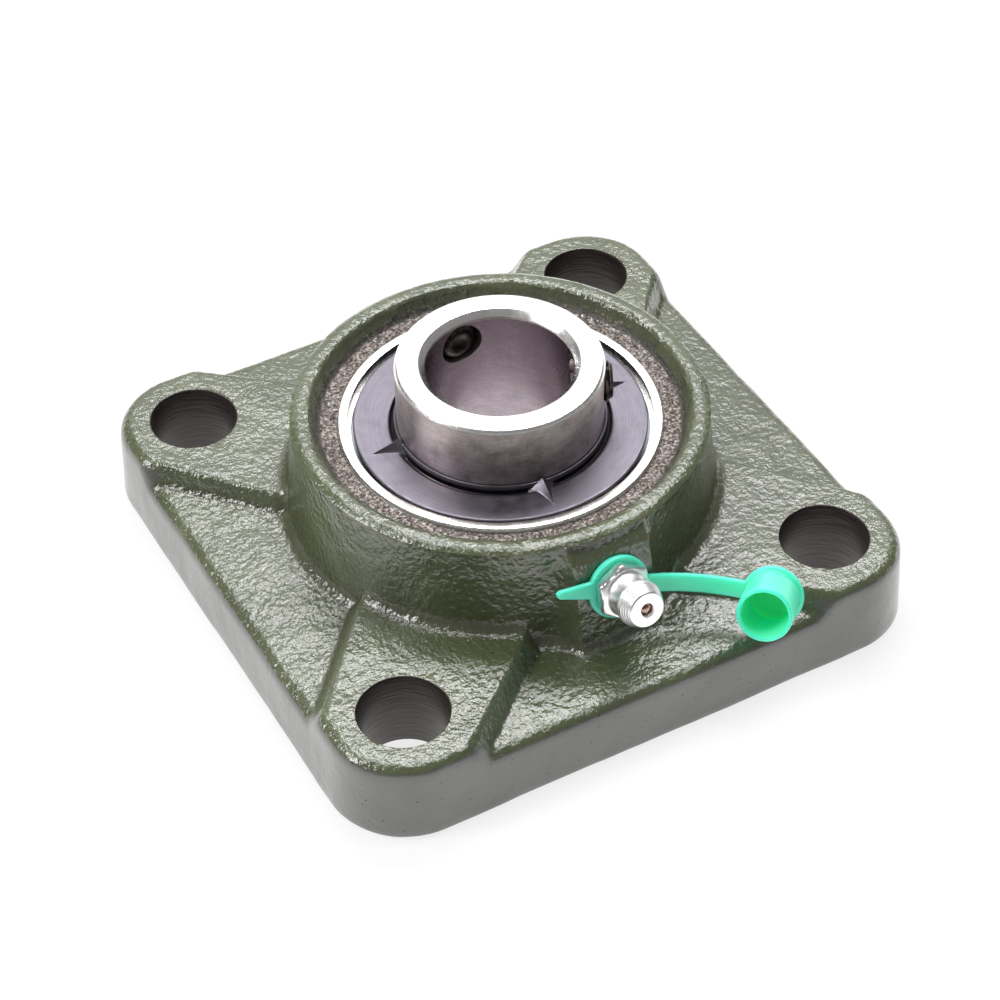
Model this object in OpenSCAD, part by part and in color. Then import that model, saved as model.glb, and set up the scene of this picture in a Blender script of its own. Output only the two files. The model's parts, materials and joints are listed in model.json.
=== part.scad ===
// Square-flange insert bearing: a cast housing with a ball-shaped seat, and a deep-groove
// insert bearing that swivels in it. Origin on the bore axis at the mounting face, +Z to the nose.

/* [Flange casting] */
// Width of the square flange
flange_w = 86; // [82:0.5:96]
// Thickness of the flange between its arms
flange_t = 9.4; // [7.5:0.1:11]
// Radius of the flange's corners at the mounting face
corner_r = 11; // [9:0.1:13]
// Height of the bolt bosses and arms over the mounting face
boss_h = 12.3; // [11:0.1:14]
// Radius of a bolt boss at its top
boss_r = 10; // [8.5:0.1:10.5]
// Draft of the flange's side walls over its thickness
flange_draft = 0.5; // [0.2:0.1:1.5]
// Chamfer on the flange's upper edge
edge_chamfer = 1; // [0.4:0.1:2]
// Width of an arm's flat top at its boss
arm_w_boss = 19; // [14:0.5:19.5]
// Width of an arm's flat top at the hub
arm_w_hub = 22; // [18:0.5:26]
// Width of an arm's sloping side at the hub
arm_slope = 2.6; // [1:0.1:4]
// Distance between bolt hole centres along a side
bolt_spacing = 64; // [62:0.5:68]
// Diameter of the bolt holes
bolt_hole_d = 12; // [9:0.5:13]

/* [Hub casting] */
// Height of the hub's rim over the mounting face
hub_h = 25.5; // [24.5:0.1:27]
// Radius of the hub at its parting edge
hub_r = 28.4; // [27.5:0.1:30]
// Radius of the hub where it meets the arms
hub_base_r = 29.5; // [28.8:0.1:31]
// Fillet between the hub and the flange
hub_fillet = 2; // [1:0.1:3]
// Radius of the opening at the rim
rim_bore_r = 25.4; // [24.6:0.1:26.4]
// Outer radius of the raw ledge beside the seat
ledge_r = 24.2; // [23.8:0.1:24.5]
// Radius of the cast recess behind the bearing
recess_r = 26; // [24.5:0.1:27]
// Half width of the ball-shaped seat along the bore
seat_half_w = 7.9; // [7:0.1:8.2]
// Width of the grease groove in the seat
groove_w = 4; // [2:0.1:4.4]
// Depth of the grease groove in the seat
groove_depth = 0.9; // [0.4:0.1:1.4]

/* [Insert bearing] */
// Height of the bearing's centre over the mounting face
centre_z = 15; // [14.5:0.1:16]
// Diameter of the shaft bore
bore_d = 20; // [17:0.5:20.5]
// Outside diameter of the inner ring
inner_od = 28.2; // [27.8:0.1:28.4]
// Reach of the inner ring in front of the bearing's centre
inner_front = 18.3; // [17.9:0.1:20]
// Reach of the inner ring behind the bearing's centre
inner_back = 12.7; // [11:0.1:13.5]
// Chamfer on the inner ring's edges
ring_chamfer = 0.4; // [0.2:0.1:0.6]
// Chamfer at the ends of the shaft bore
bore_chamfer = 0.9; // [0.3:0.1:1.2]
// Diameter of the outer ring's ball-shaped outside
sphere_d = 47; // [46.8:0.1:47.4]
// Width of the outer ring
outer_w = 17; // [16.8:0.1:17.4]
// Diameter of the outer ring's shoulder bore
shoulder_d = 38.4; // [37.8:0.1:38.8]
// Diameter of the outer ring's mouth beside the flinger
mouth_d = 41.5; // [41:0.1:42]
// Diameter of a ball
ball_d = 7.938; // [7.8:0.002:8]
// Number of balls
ball_count = 8; // [6:1:8]
// Diameter of the circle through the ball centres
pitch_d = 33.5; // [33.3:0.05:33.7]
// Clearance between ball and raceway
race_gap = 0.015; // [0.01:0.005:0.04]
// Clearance between the outer ring and its seat
seat_gap = 0.03; // [0.02:0.01:0.08]

/* [Cage and seals] */
// Thickness of the cage's sheet
cage_t = 0.6; // [0.4:0.05:0.7]
// Radial width of the cage
cage_w = 3.6; // [3:0.1:3.8]
// Clearance between ball and cage pocket
pocket_gap = 0.15; // [0.1:0.01:0.2]
// Diameter of a cage rivet
rivet_d = 1.2; // [0.8:0.1:1.4]
// Thickness of the seal's steel carrier
shield_t = 0.5; // [0.4:0.05:0.6]
// Clearance between the seal's lip and the inner ring
lip_gap = 0.05; // [0.02:0.01:0.1]
// Outside diameter of the flinger
flinger_d = 40; // [39:0.1:40.4]
// Thickness of the flinger's sheet
flinger_t = 0.5; // [0.4:0.05:0.6]
// Reach of a pressed gusset from the bore axis
gusset_r = 18.6; // [17.5:0.1:19]
// Width of a pressed gusset at the collar
gusset_w = 3.2; // [2:0.1:4]

/* [Set screws] */
// Thread diameter of a set screw
screw_d = 6; // [5:0.5:6]
// Length of a set screw
screw_l = 5; // [4.6:0.1:5.2]
// Distance of the screws from the inner ring's front face
screw_inset = 4.2; // [4:0.1:4.8]
// How far a screw's end stands out of the ring
screw_proud = 1; // [0.6:0.1:1.1]
// Width across the flats of the screw's socket
socket_af = 3; // [2:0.5:3]
// Angle of the first screw round the bore
screw_angle = -26.5; // [-40:0.5:-15]
// Pitch of the screw and nipple threads
thread_pitch = 1; // [0.75:0.05:1]

/* [Grease nipple and cap] */
// Angle of the nipple above the mounting face
nipple_tilt = 16; // [12:0.5:20]
// Height over the mounting face of the nipple's seat
nipple_z = 18.2; // [17.6:0.1:18.6]
// Distance of the nipple's seat from the bore axis
nipple_y = 30.9; // [30.5:0.1:32]
// Width of the boss under the nipple
boss_block_w = 12.6; // [11.6:0.1:16]
// Thread diameter of the nipple
nipple_thread_d = 6; // [5.5:0.1:6.2]
// Length of the nipple's thread
nipple_thread_l = 5; // [4:0.1:5.4]
// Width across the flats of the nipple's hexagon
nipple_af = 7; // [6.8:0.1:8]
// Thickness of the nipple's hexagon
nipple_hex_t = 1.7; // [1.2:0.1:2.5]
// Length of the neck between hexagon and head
neck_l = 2.6; // [2:0.1:4]
// Length of the nipple's head
head_l = 2.7; // [2.4:0.1:4]
// Diameter of the nipple's head
head_d = 6.4; // [6.2:0.1:6.8]
// Diameter of the nipple's end face
tip_d = 4.8; // [4.4:0.1:5.2]
// Diameter of the nipple's neck
neck_d = 5; // [4.6:0.1:5.4]
// Diameter of the check ball
check_ball_d = 2.1; // [1.9:0.05:2.3]
// Travel of the check ball
check_travel = 0.5; // [0.3:0.1:0.8]
// Wire diameter of the check ball's spring
wire_d = 0.25; // [0.2:0.05:0.3]
// Outside diameter of the cap's eyelet
eyelet_d = 8.8; // [8.4:0.1:9.6]
// Thickness of the cap's eyelet and strap
strap_t = 0.9; // [0.7:0.05:1.2]
// Width of the cap's strap
strap_w = 2.5; // [2:0.1:3]
// Angle of the strap below level, seen along the nipple
strap_drop = 17; // [8:0.5:20]
// Radius of the strap's bend
strap_bend_r = 18; // [16:0.5:22]
// Angle of the strap's bend
strap_bend = 42; // [30:1:50]
// Length of the cap's cup
cup_l = 7.6; // [7:0.1:9]
// Outside diameter of the cup's mouth
cup_d = 7.4; // [7:0.1:8]
// Wall of the cup
cup_wall = 0.6; // [0.4:0.05:0.7]
// Diameter of the rim at the cup's closed end
cup_rim_d = 8.2; // [8.1:0.1:9]
// Reach of the pull tail from the nipple's axis
tail_l = 9.1; // [7:0.1:10]

/* [Hidden] */
$fn = 96;
// Gaps: parts pressed or threaded together, and parts that turn on each other
fit = 0.02;
turn_gap = 0.1;
// Overshoot of a cut past the face that it opens
cut = 1;
hull_fn = 32;
seal_side = [1, -1];
ball_r = ball_d / 2;
pitch_r = pitch_d / 2;
sphere_r = sphere_d / 2;
seat_r = sphere_r + seat_gap;
bolt_xy = bolt_spacing / 2;
ring_half = outer_w / 2;
bore_r = bore_d / 2;
inner_r = inner_od / 2;
nose_z = centre_z + inner_front;
tail_z = centre_z - inner_back;
// A raceway's radius is a little over half the ball's diameter
race_conformity = 0.515;
groove_r = race_conformity * ball_d;
inner_race_r = pitch_r - ball_r - race_gap;
outer_race_r = pitch_r + ball_r + race_gap;
// Height of a boss's spot face over its arm, and how far the hub's fillet sinks into its neighbours
boss_step = 0.1;
fillet_sink = 0.1;
// Hub heights that follow its rim: parting edge, and the rounded crest inside it
parting_z = hub_h - 0.6;
crest_r = (hub_r + rim_bore_r) / 2;
// Where the seat ends in front and at the back
ledge_z = centre_z + seat_half_w;
recess_z = centre_z - seat_half_w;
recess_draft = 1;
slot_w = outer_w + 0.6;
slot_r = seat_r + 0.2;
// The grease groove and the ring's holes share the band between raceway and seal
grease_hole_d = 1.6;
grease_offset = 4.1;
groove_offset = grease_offset - groove_w / 2 + grease_hole_d / 4;
grease_drill_d = 2.6;
// Seal stack, measured from the bearing's centre: the shield lies a fixed depth inside the face
shield_depth = 2.8;
seal_seat_land = 0.35;
shield_z = ring_half - shield_depth;
seal_seat_z = shield_z - seal_seat_land;
seal_seat_r = shoulder_d / 2 + 0.6;
bead_r = shoulder_d / 2 + 1.1;
bead_w = 0.9;
mouth_z = shield_z + bead_w + 0.2;
shield_inner_r = inner_r + 1.9;
lip_outer_r = shield_inner_r + 1;
lip_t = 0.5;
flinger_z = ring_half - 0.4;
collar_top = flinger_z + 0.8;
collar_bottom = flinger_z - 1.3;
collar_t = 0.42;
trough_w = 0.55;
trough_z = flinger_z - 0.9;
gusset_top = 0.3;
gusset_count = 4;
gusset_angle = 82;
gusset_start = inner_r + collar_t / 2;
// Cage: two pressed halves that meet at the bearing's centre plane
cage_in_r = pitch_r - cage_w / 2;
cage_out_r = pitch_r + cage_w / 2;
pocket_r = ball_r + pocket_gap;
cage_step = 360 / ball_count;
rivet_head_d = rivet_d * 1.7;
rivet_head_t = 0.4;
// Set screws
screw_z = nose_z - screw_inset;
screw_step = 120;
screw_out_r = inner_r + screw_proud;
screw_hole_r = screw_d / 2;
screw_major_r = screw_hole_r - 0.06;
thread_depth = 0.45;
socket_depth = 2.2;
cup_point_r = 1.3;
cup_point_depth = 0.5;
// Nipple, measured outwards from its seat on the boss
eyelet_gap = strap_t + 2 * turn_gap;
hex_top = eyelet_gap + nipple_hex_t;
neck_top = hex_top + neck_l;
tip_w = neck_top + head_l;
head_w = tip_w - 1.8;
hex_r = nipple_af / 2 / cos(30);
thread_r = nipple_thread_d / 2 - 0.05;
tip_hole_r = 0.82;
ball_bore_r = check_ball_d / 2 + 0.12;
check_ball_w = tip_w - 0.1 - check_ball_d / 2;
seat_lip_w = check_ball_w + sqrt(pow(check_ball_d / 2, 2) - pow(tip_hole_r, 2)) + turn_gap / 4;
spring_coils = 6;
spring_r = ball_bore_r - wire_d / 2 - 0.06;
spring_top_w = check_ball_w - sqrt(pow(check_ball_d / 2 + wire_d / 2, 2) - pow(spring_r, 2)) - fit;
spring_base_w = -3.5;
spring_pitch = (spring_top_w - spring_base_w) / spring_coils;
grease_bore_r = 0.8;
drill_reach = nipple_y - seat_r + 2;
pad_r = 5;
spot_r = 5.3;
pad_rise = 0.2;
// Outline of the nipple boss from the side: foot, front face under and over the seat, top
boss_foot = 2.4;
boss_inside = hub_r - 3;
boss_lean = 1.3;
boss_top_z = nipple_z + spot_r * cos(nipple_tilt) - 0.1;
function seat_plane_y(z) = nipple_y - (z - nipple_z) * tan(nipple_tilt);
boss_front_y = seat_plane_y(nipple_z) - pad_rise / cos(nipple_tilt);
// Cap
eyelet_hole_r = nipple_thread_d / 2 + turn_gap;
bend_start = eyelet_d / 2 - 0.2;
tail_turn = 182.3;
tail_root_w = 3;
tail_tip_w = 0.9;
cup_rim_t = 0.9;
cup_floor = 0.9;
cup_in_r = cup_d / 2 - cup_wall;

// Puts its children on the bearing's centre, facing the front (side 1) or the back (side -1)
module facing(side) {
    translate([0, 0, centre_z])
        if (side > 0) children(); else mirror([0, 0, 1]) children();
}

// Puts its children on the nipple's seat, with their Z out along the nipple
module on_nipple() {
    translate([0, -nipple_y, nipple_z]) rotate([90 - nipple_tilt, 0, 0]) children();
}

module ring(r_out, r_in, h) {
    difference() {
        cylinder(r = r_out, h = h);
        translate([0, 0, -cut]) cylinder(r = r_in, h = h + 2 * cut);
    }
}

module at_bolts() {
    for (x = [-bolt_xy, bolt_xy], y = [-bolt_xy, bolt_xy]) translate([x, y, 0]) children();
}

// Flange plate with drafted sides and a chamfered upper edge
module flange_plate() {
    corner = flange_w / 2 - corner_r;
    hull()
        for (x = [-corner, corner], y = [-corner, corner]) translate([x, y, 0]) {
            cylinder(r1 = corner_r, r2 = corner_r - flange_draft, h = flange_t - edge_chamfer, $fn = hull_fn);
            translate([0, 0, flange_t - edge_chamfer])
                cylinder(r1 = corner_r - flange_draft, r2 = corner_r - flange_draft - edge_chamfer,
                         h = edge_chamfer, $fn = hull_fn);
        }
}

// Section of an arm, standing in the XZ plane
module arm_section(top_w, slope) {
    foot_z = flange_t - 1;
    foot_w = top_w + 2 * slope;
    top_z = boss_h - boss_step;
    rotate([90, 0, 0]) linear_extrude(0.1)
        polygon([[-foot_w / 2, foot_z], [foot_w / 2, foot_z], [top_w / 2, top_z], [-top_w / 2, top_z]]);
}

// One diagonal arm from the hub to its bolt boss
module arm() {
    reach = bolt_xy * sqrt(2);
    hull() {
        translate([0, -seat_r, 0]) arm_section(arm_w_hub, arm_slope);
        translate([0, -reach, 0]) arm_section(arm_w_boss, boss_r - arm_w_boss / 2);
    }
}

module hub_solid() {
    flare_r = hub_base_r + hub_fillet;
    fillet_z = flange_t + hub_fillet;
    rotate_extrude() {
        polygon([[0, 0], [hub_base_r, 0], [hub_base_r, fillet_z], [hub_r, parting_z],
                 [hub_r - 1, hub_h], [crest_r, hub_h], [rim_bore_r - 1, ledge_z], [0, ledge_z]]);
        difference() {
            translate([hub_base_r - cut, cut]) square([hub_fillet + cut, fillet_z - cut]);
            translate([flare_r - fillet_sink, fillet_z - fillet_sink]) circle(r = hub_fillet);
        }
    }
}

// Block that carries the nipple, with its seat pad
module nipple_boss() {
    top_y = seat_plane_y(boss_top_z) - pad_rise;
    foot_y = boss_front_y + boss_lean;
    rotate([90, 0, 90])
        translate([0, 0, -boss_block_w / 2]) linear_extrude(boss_block_w)
            polygon([[-boss_inside, cut], [-foot_y - boss_foot, cut], [-foot_y - boss_foot, flange_t],
                     [-foot_y, flange_t + boss_foot], [-boss_front_y, nipple_z],
                     [-top_y, boss_top_z], [-boss_inside, boss_top_z + 0.5]]);
    on_nipple() translate([0, 0, -pad_r]) cylinder(r = pad_r, h = pad_r);
}

// Space inside the housing: ball seat, open rim, back recess, grease groove and loading slots
module housing_cavity() {
    translate([0, 0, centre_z]) sphere(r = seat_r, $fn = 180);
    rotate_extrude()
        polygon([[0, ledge_z], [ledge_r, ledge_z], [rim_bore_r - 0.3, ledge_z + 1.3],
                 [rim_bore_r, hub_h - 0.6], [rim_bore_r + 0.6, hub_h + cut], [0, hub_h + cut]]);
    rotate_extrude()
        polygon([[0, -cut], [recess_r + recess_draft, -cut], [recess_r, recess_z], [0, recess_z]]);
    translate([0, 0, centre_z + groove_offset - groove_w / 2])
        ring(seat_r + groove_depth, seat_r - 3, groove_w);
    intersection() {
        translate([-slot_r - cut, -slot_w / 2, recess_z - cut])
            cube([2 * (slot_r + cut), slot_w, seat_half_w + cut]);
        cylinder(r = slot_r, h = centre_z);
    }
}

module housing() color("#6f7a5e") {
    difference() {
        union() {
            flange_plate();
            for (a = [45:90:315]) rotate([0, 0, a]) arm();
            at_bolts() translate([0, 0, flange_t / 2])
                cylinder(r1 = boss_r + 0.4, r2 = boss_r, h = boss_h - flange_t / 2);
            hub_solid();
            nipple_boss();
        }
        housing_cavity();
        at_bolts() translate([0, 0, -cut]) cylinder(d = bolt_hole_d, h = boss_h + 2 * cut);
        on_nipple() {
            cylinder(r = spot_r, h = spot_r);
            translate([0, 0, -nipple_thread_l - 0.5])
                cylinder(d = nipple_thread_d, h = nipple_thread_l + 0.5 + cut);
            translate([0, 0, -drill_reach]) cylinder(d = grease_drill_d, h = drill_reach);
        }
    }
}

module outer_ring() color("#e6e4e0") {
    translate([0, 0, centre_z]) difference() {
        intersection() {
            sphere(r = sphere_r, $fn = 180);
            translate([0, 0, -ring_half]) cylinder(r = sphere_r + cut, h = outer_w);
        }
        translate([0, 0, -ring_half - cut]) cylinder(d = shoulder_d, h = outer_w + 2 * cut);
        rotate_extrude() translate([outer_race_r - groove_r, 0]) circle(r = groove_r);
        for (s = seal_side) mirror([0, 0, s < 0 ? 1 : 0]) {
            translate([0, 0, seal_seat_z]) cylinder(r = seal_seat_r, h = ring_half);
            translate([0, 0, shield_z - 0.1]) cylinder(r = bead_r, h = bead_w);
            translate([0, 0, mouth_z]) cylinder(d = mouth_d, h = ring_half);
        }
        for (a = [90, -90]) rotate([0, 0, a])
            translate([pitch_r, 0, grease_offset]) rotate([0, 90, 0])
                cylinder(d = grease_hole_d, h = sphere_r);
    }
}

module inner_ring() color("#b9b0ac") {
    difference() {
        rotate_extrude()
            polygon([[bore_r, tail_z + bore_chamfer], [bore_r + bore_chamfer, tail_z],
                     [inner_r - ring_chamfer, tail_z], [inner_r, tail_z + ring_chamfer],
                     [inner_r, nose_z - ring_chamfer], [inner_r - ring_chamfer, nose_z],
                     [bore_r + bore_chamfer, nose_z], [bore_r, nose_z - bore_chamfer]]);
        translate([0, 0, centre_z]) rotate_extrude()
            translate([inner_race_r + groove_r, 0]) circle(r = groove_r);
        for (i = [0, 1]) rotate([0, 0, screw_angle + i * screw_step])
            translate([bore_r - cut, 0, screw_z]) rotate([0, 90, 0])
                cylinder(r = screw_hole_r, h = inner_r - bore_r + 2 * cut);
    }
}

module ball(i) color("#d8d8da") {
    rotate([0, 0, (i - 1) * cage_step]) translate([pitch_r, 0, centre_z]) sphere(d = ball_d);
}

// One pressed half: a flat ribbon with a dished pocket over each ball
module cage_half(side) color("#b5a489") {
    facing(side) difference() {
        intersection() {
            union() {
                cylinder(r = cage_out_r, h = cage_t);
                for (i = [0:ball_count - 1]) rotate([0, 0, i * cage_step])
                    translate([pitch_r, 0, 0]) sphere(r = pocket_r + cage_t);
            }
            ring(cage_out_r, cage_in_r, ball_d);
        }
        for (i = [0:ball_count - 1]) rotate([0, 0, i * cage_step]) {
            translate([pitch_r, 0, 0]) sphere(r = pocket_r);
            rotate([0, 0, cage_step / 2]) translate([pitch_r, 0, -cut])
                cylinder(d = rivet_d, h = cage_t + 2 * cut);
        }
    }
}

module cage_rivets() color("#9a958c") {
    for (i = [0:ball_count - 1]) rotate([0, 0, (i + 0.5) * cage_step])
        translate([pitch_r, 0, centre_z]) {
            translate([0, 0, -cage_t - fit]) cylinder(d = rivet_d - 2 * fit, h = 2 * (cage_t + fit));
            translate([0, 0, cage_t + fit]) cylinder(d = rivet_head_d, h = rivet_head_t);
            translate([0, 0, -cage_t - fit - rivet_head_t]) cylinder(d = rivet_head_d, h = rivet_head_t);
        }
}

// Steel ring whose rolled bead sits in the outer ring's groove
module seal_shield(side) color("#8f9296") {
    facing(side) {
        translate([0, 0, shield_z]) ring(bead_r - fit, shield_inner_r, shield_t);
        translate([0, 0, shield_z + shield_t]) ring(bead_r - fit, bead_r - fit - 0.6, bead_w - shield_t - 0.15);
    }
}

// Rubber bonded to the shield's inner edge, with a lip that brushes the inner ring
module seal_lip(side) color("#2c2b2d") {
    lip_r = inner_r + lip_gap;
    facing(side) rotate_extrude()
        polygon([[lip_r, shield_z + shield_t], [lip_r + 0.5, shield_z - 0.2], [shield_inner_r - fit, shield_z],
                 [shield_inner_r - fit, shield_z + shield_t + fit], [lip_outer_r, shield_z + shield_t + fit],
                 [lip_outer_r, shield_z + shield_t + lip_t], [lip_r, shield_z + shield_t + lip_t - 0.1]]);
}

// Pressed slinger: collar on the inner ring, a trough, a flat apron and four gussets
module flinger(side) color("#a9a5b3") {
    collar_r = inner_r + collar_t;
    trough_r = collar_r + trough_w;
    apron_r = trough_r + 0.35;
    facing(side) {
        rotate_extrude()
            polygon([[inner_r + fit, collar_bottom], [inner_r + fit, collar_top], [collar_r, collar_top],
                     [collar_r, trough_z], [trough_r, trough_z], [apron_r, flinger_z],
                     [flinger_d / 2, flinger_z], [flinger_d / 2, flinger_z - flinger_t],
                     [apron_r + 0.2, flinger_z - flinger_t], [trough_r + 0.1, collar_bottom]]);
        for (i = [0:gusset_count - 1])
            rotate([0, 0, side * (gusset_angle + i * 360 / gusset_count)]) gusset();
    }
}

// Three-sided ridge from the collar down to the apron
module gusset() {
    base_z = flinger_z - flinger_t / 2;
    top_z = collar_top + gusset_top;
    half = gusset_w / 2;
    polyhedron(points = [[gusset_start, -half, base_z], [gusset_start, half, base_z],
                         [gusset_start, 0, top_z], [gusset_r, 0, base_z]],
               faces = [[0, 1, 2], [0, 2, 3], [1, 3, 2], [0, 3, 1]]);
}

// Thread drawn as rings: a zigzag of the given radius and depth from z0 up to z1
module thread(r, z0, z1) {
    turns = floor((z1 - z0) / thread_pitch);
    half = thread_pitch / 2;
    rotate_extrude()
        polygon(concat([[0, z0]],
                       [for (k = [0:turns - 1], p = [[r - thread_depth, 0], [r, half]])
                            [p[0], z0 + k * thread_pitch + p[1]]],
                       [[r - thread_depth, z0 + turns * thread_pitch], [r - thread_depth, z1], [0, z1]]));
}

module set_screw(i) color("#3a3836") {
    rotate([0, 0, screw_angle + i * screw_step])
        translate([screw_out_r - screw_l, 0, screw_z]) rotate([0, 90, 0]) difference() {
            thread(screw_major_r, 0, screw_l);
            translate([0, 0, screw_l - socket_depth])
                cylinder(d = socket_af / cos(30), h = socket_depth + cut, $fn = 6);
            translate([0, 0, -fit]) cylinder(r1 = cup_point_r, r2 = 0, h = cup_point_depth);
        }
}

module nipple_body() color("#d9d6d8") {
    on_nipple() difference() {
        union() {
            thread(thread_r, -nipple_thread_l, eyelet_gap);
            translate([0, 0, eyelet_gap]) intersection() {
                cylinder(r = hex_r, h = nipple_hex_t, $fn = 6);
                cylinder(r1 = hex_r + 0.1, r2 = nipple_af / 2 + 0.1, h = nipple_hex_t);
            }
            rotate_extrude()
                polygon([[0, hex_top - 0.1], [nipple_af / 2 - 0.2, hex_top - 0.1], [nipple_af / 2 - 0.2, hex_top],
                         [neck_d / 2 + 0.2, hex_top + neck_l * 0.6], [neck_d / 2, neck_top - 0.3],
                         [neck_d / 2, neck_top], [head_d / 2, neck_top + 0.3], [head_d / 2, head_w],
                         [tip_d / 2, tip_w], [0, tip_w]]);
        }
        translate([0, 0, seat_lip_w - cut]) cylinder(r = tip_hole_r, h = tip_w);
        translate([0, 0, spring_base_w - wire_d]) cylinder(r = ball_bore_r, h = seat_lip_w - spring_base_w + wire_d);
        translate([0, 0, -nipple_thread_l - cut]) cylinder(r = grease_bore_r, h = nipple_thread_l + 2 * cut);
    }
}

module nipple_ball() color("#8d6f64") {
    on_nipple() translate([0, 0, check_ball_w]) sphere(d = check_ball_d);
}

// Coil spring behind the ball, drawn as closed rings one pitch apart joined by short posts
module nipple_spring() color("#9c9ca0") {
    on_nipple() {
        for (k = [0:spring_coils]) translate([0, 0, spring_base_w + k * spring_pitch])
            rotate_extrude() translate([spring_r, 0]) circle(d = wire_d);
        for (k = [0:spring_coils - 1]) rotate([0, 0, k * 180])
            translate([spring_r, 0, spring_base_w + k * spring_pitch]) cylinder(d = wire_d * 0.8, h = spring_pitch);
    }
}

module cap_cup() {
    cup_r = cup_d / 2;
    translate([0, 0, -cup_rim_t / 2]) difference() {
        union() {
            cylinder(d = cup_rim_d, h = cup_rim_t);
            cylinder(r1 = cup_r - 0.1, r2 = cup_r, h = cup_l);
        }
        translate([0, 0, cup_floor]) cylinder(r = cup_in_r, h = cup_l);
    }
}

// Cap, strap, eyelet and tail are one moulding; the strap bends forward in one arc
module grease_cap() color("#2fd07c") {
    on_nipple() translate([0, 0, eyelet_gap / 2]) {
        translate([0, 0, -strap_t / 2]) difference() {
            union() {
                cylinder(d = eyelet_d, h = strap_t);
                rotate([0, 0, -strap_drop + tail_turn]) {
                    linear_extrude(strap_t)
                        polygon([[0, -tail_root_w / 2], [tail_l, -tail_tip_w / 2],
                                 [tail_l, tail_tip_w / 2], [0, tail_root_w / 2]]);
                    translate([tail_l, 0, 0]) cylinder(d = tail_tip_w, h = strap_t);
                }
                rotate([0, 0, -strap_drop]) translate([0, -strap_w / 2, 0])
                    cube([bend_start, strap_w, strap_t]);
            }
            translate([0, 0, -cut]) cylinder(r = eyelet_hole_r, h = strap_t + 2 * cut);
        }
        rotate([0, 0, -strap_drop]) {
            translate([bend_start, 0, strap_bend_r]) rotate([90, 0, 0]) rotate([0, 0, -90])
                rotate_extrude(angle = strap_bend)
                    translate([strap_bend_r - strap_t / 2, -strap_w / 2]) square([strap_t, strap_w]);
            translate([bend_start + strap_bend_r * sin(strap_bend), 0, strap_bend_r * (1 - cos(strap_bend))])
                rotate([0, -strap_bend, 0]) {
                    translate([-fit, -strap_w / 2, -strap_t / 2]) cube([cup_rim_d / 4, strap_w, strap_t]);
                    translate([cup_rim_d / 2, 0, 0]) cap_cup();
                }
        }
    }
}

housing();
outer_ring();
inner_ring();
for (i = [1:ball_count]) ball(i);
cage_half(1);  // cage_front_half
cage_half(-1);  // cage_rear_half
cage_rivets();
seal_shield(1);  // front_seal_shield
seal_shield(-1);  // rear_seal_shield
seal_lip(1);  // front_seal_lip
seal_lip(-1);  // rear_seal_lip
flinger(1);  // front_flinger
flinger(-1);  // rear_flinger
set_screw(0);  // set_screw_1
set_screw(1);  // set_screw_2
nipple_body();
nipple_ball();
nipple_spring();
grease_cap();
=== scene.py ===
# %% [markdown]
# # A four-bolt flange bearing
# A square casting carries a ball bearing whose outside is part of a sphere, so the bearing can
# swivel to follow a shaft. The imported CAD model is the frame: it sets every size and every joint.
# This file dresses it, piece by piece, with surfaces worked out in numpy and with materials made
# of nodes.

# %% Load the frame
import json
import bpy
import bmesh
import numpy as np
from mathutils import Matrix, Vector


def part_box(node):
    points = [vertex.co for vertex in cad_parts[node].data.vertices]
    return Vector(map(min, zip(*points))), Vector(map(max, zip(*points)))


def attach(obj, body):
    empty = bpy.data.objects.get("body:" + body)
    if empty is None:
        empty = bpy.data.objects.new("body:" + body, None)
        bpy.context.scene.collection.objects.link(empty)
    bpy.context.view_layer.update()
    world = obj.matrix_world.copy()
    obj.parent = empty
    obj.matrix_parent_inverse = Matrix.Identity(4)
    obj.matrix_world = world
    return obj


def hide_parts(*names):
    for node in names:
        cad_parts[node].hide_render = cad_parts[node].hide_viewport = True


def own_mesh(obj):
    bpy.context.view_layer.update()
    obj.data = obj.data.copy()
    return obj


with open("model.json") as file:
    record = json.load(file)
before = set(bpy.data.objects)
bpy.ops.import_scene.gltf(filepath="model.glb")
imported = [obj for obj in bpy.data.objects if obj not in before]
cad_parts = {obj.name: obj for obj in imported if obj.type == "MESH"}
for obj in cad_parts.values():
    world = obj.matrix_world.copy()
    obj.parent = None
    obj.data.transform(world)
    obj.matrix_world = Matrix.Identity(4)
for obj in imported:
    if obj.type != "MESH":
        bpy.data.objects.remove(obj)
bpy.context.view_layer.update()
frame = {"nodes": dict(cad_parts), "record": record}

MM = 0.001
TURN = 2.0 * np.pi

# %% [markdown]
# ## Sizes that the pieces share
# A new surface has to lie where the CAD solid lies, so the main sizes are read from the frame: from
# the boxes round its nodes and from the mounts in its record. Only the nipple's place on the hub is
# repeated as listed numbers, because no box gives it. All of them are in millimetres.


# %% Shared sizes
def corners_mm(node):
    """Lowest and highest corner of a CAD node, to a thousandth of a millimetre."""
    return np.round(np.array(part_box(node)) / MM, 3)


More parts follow.
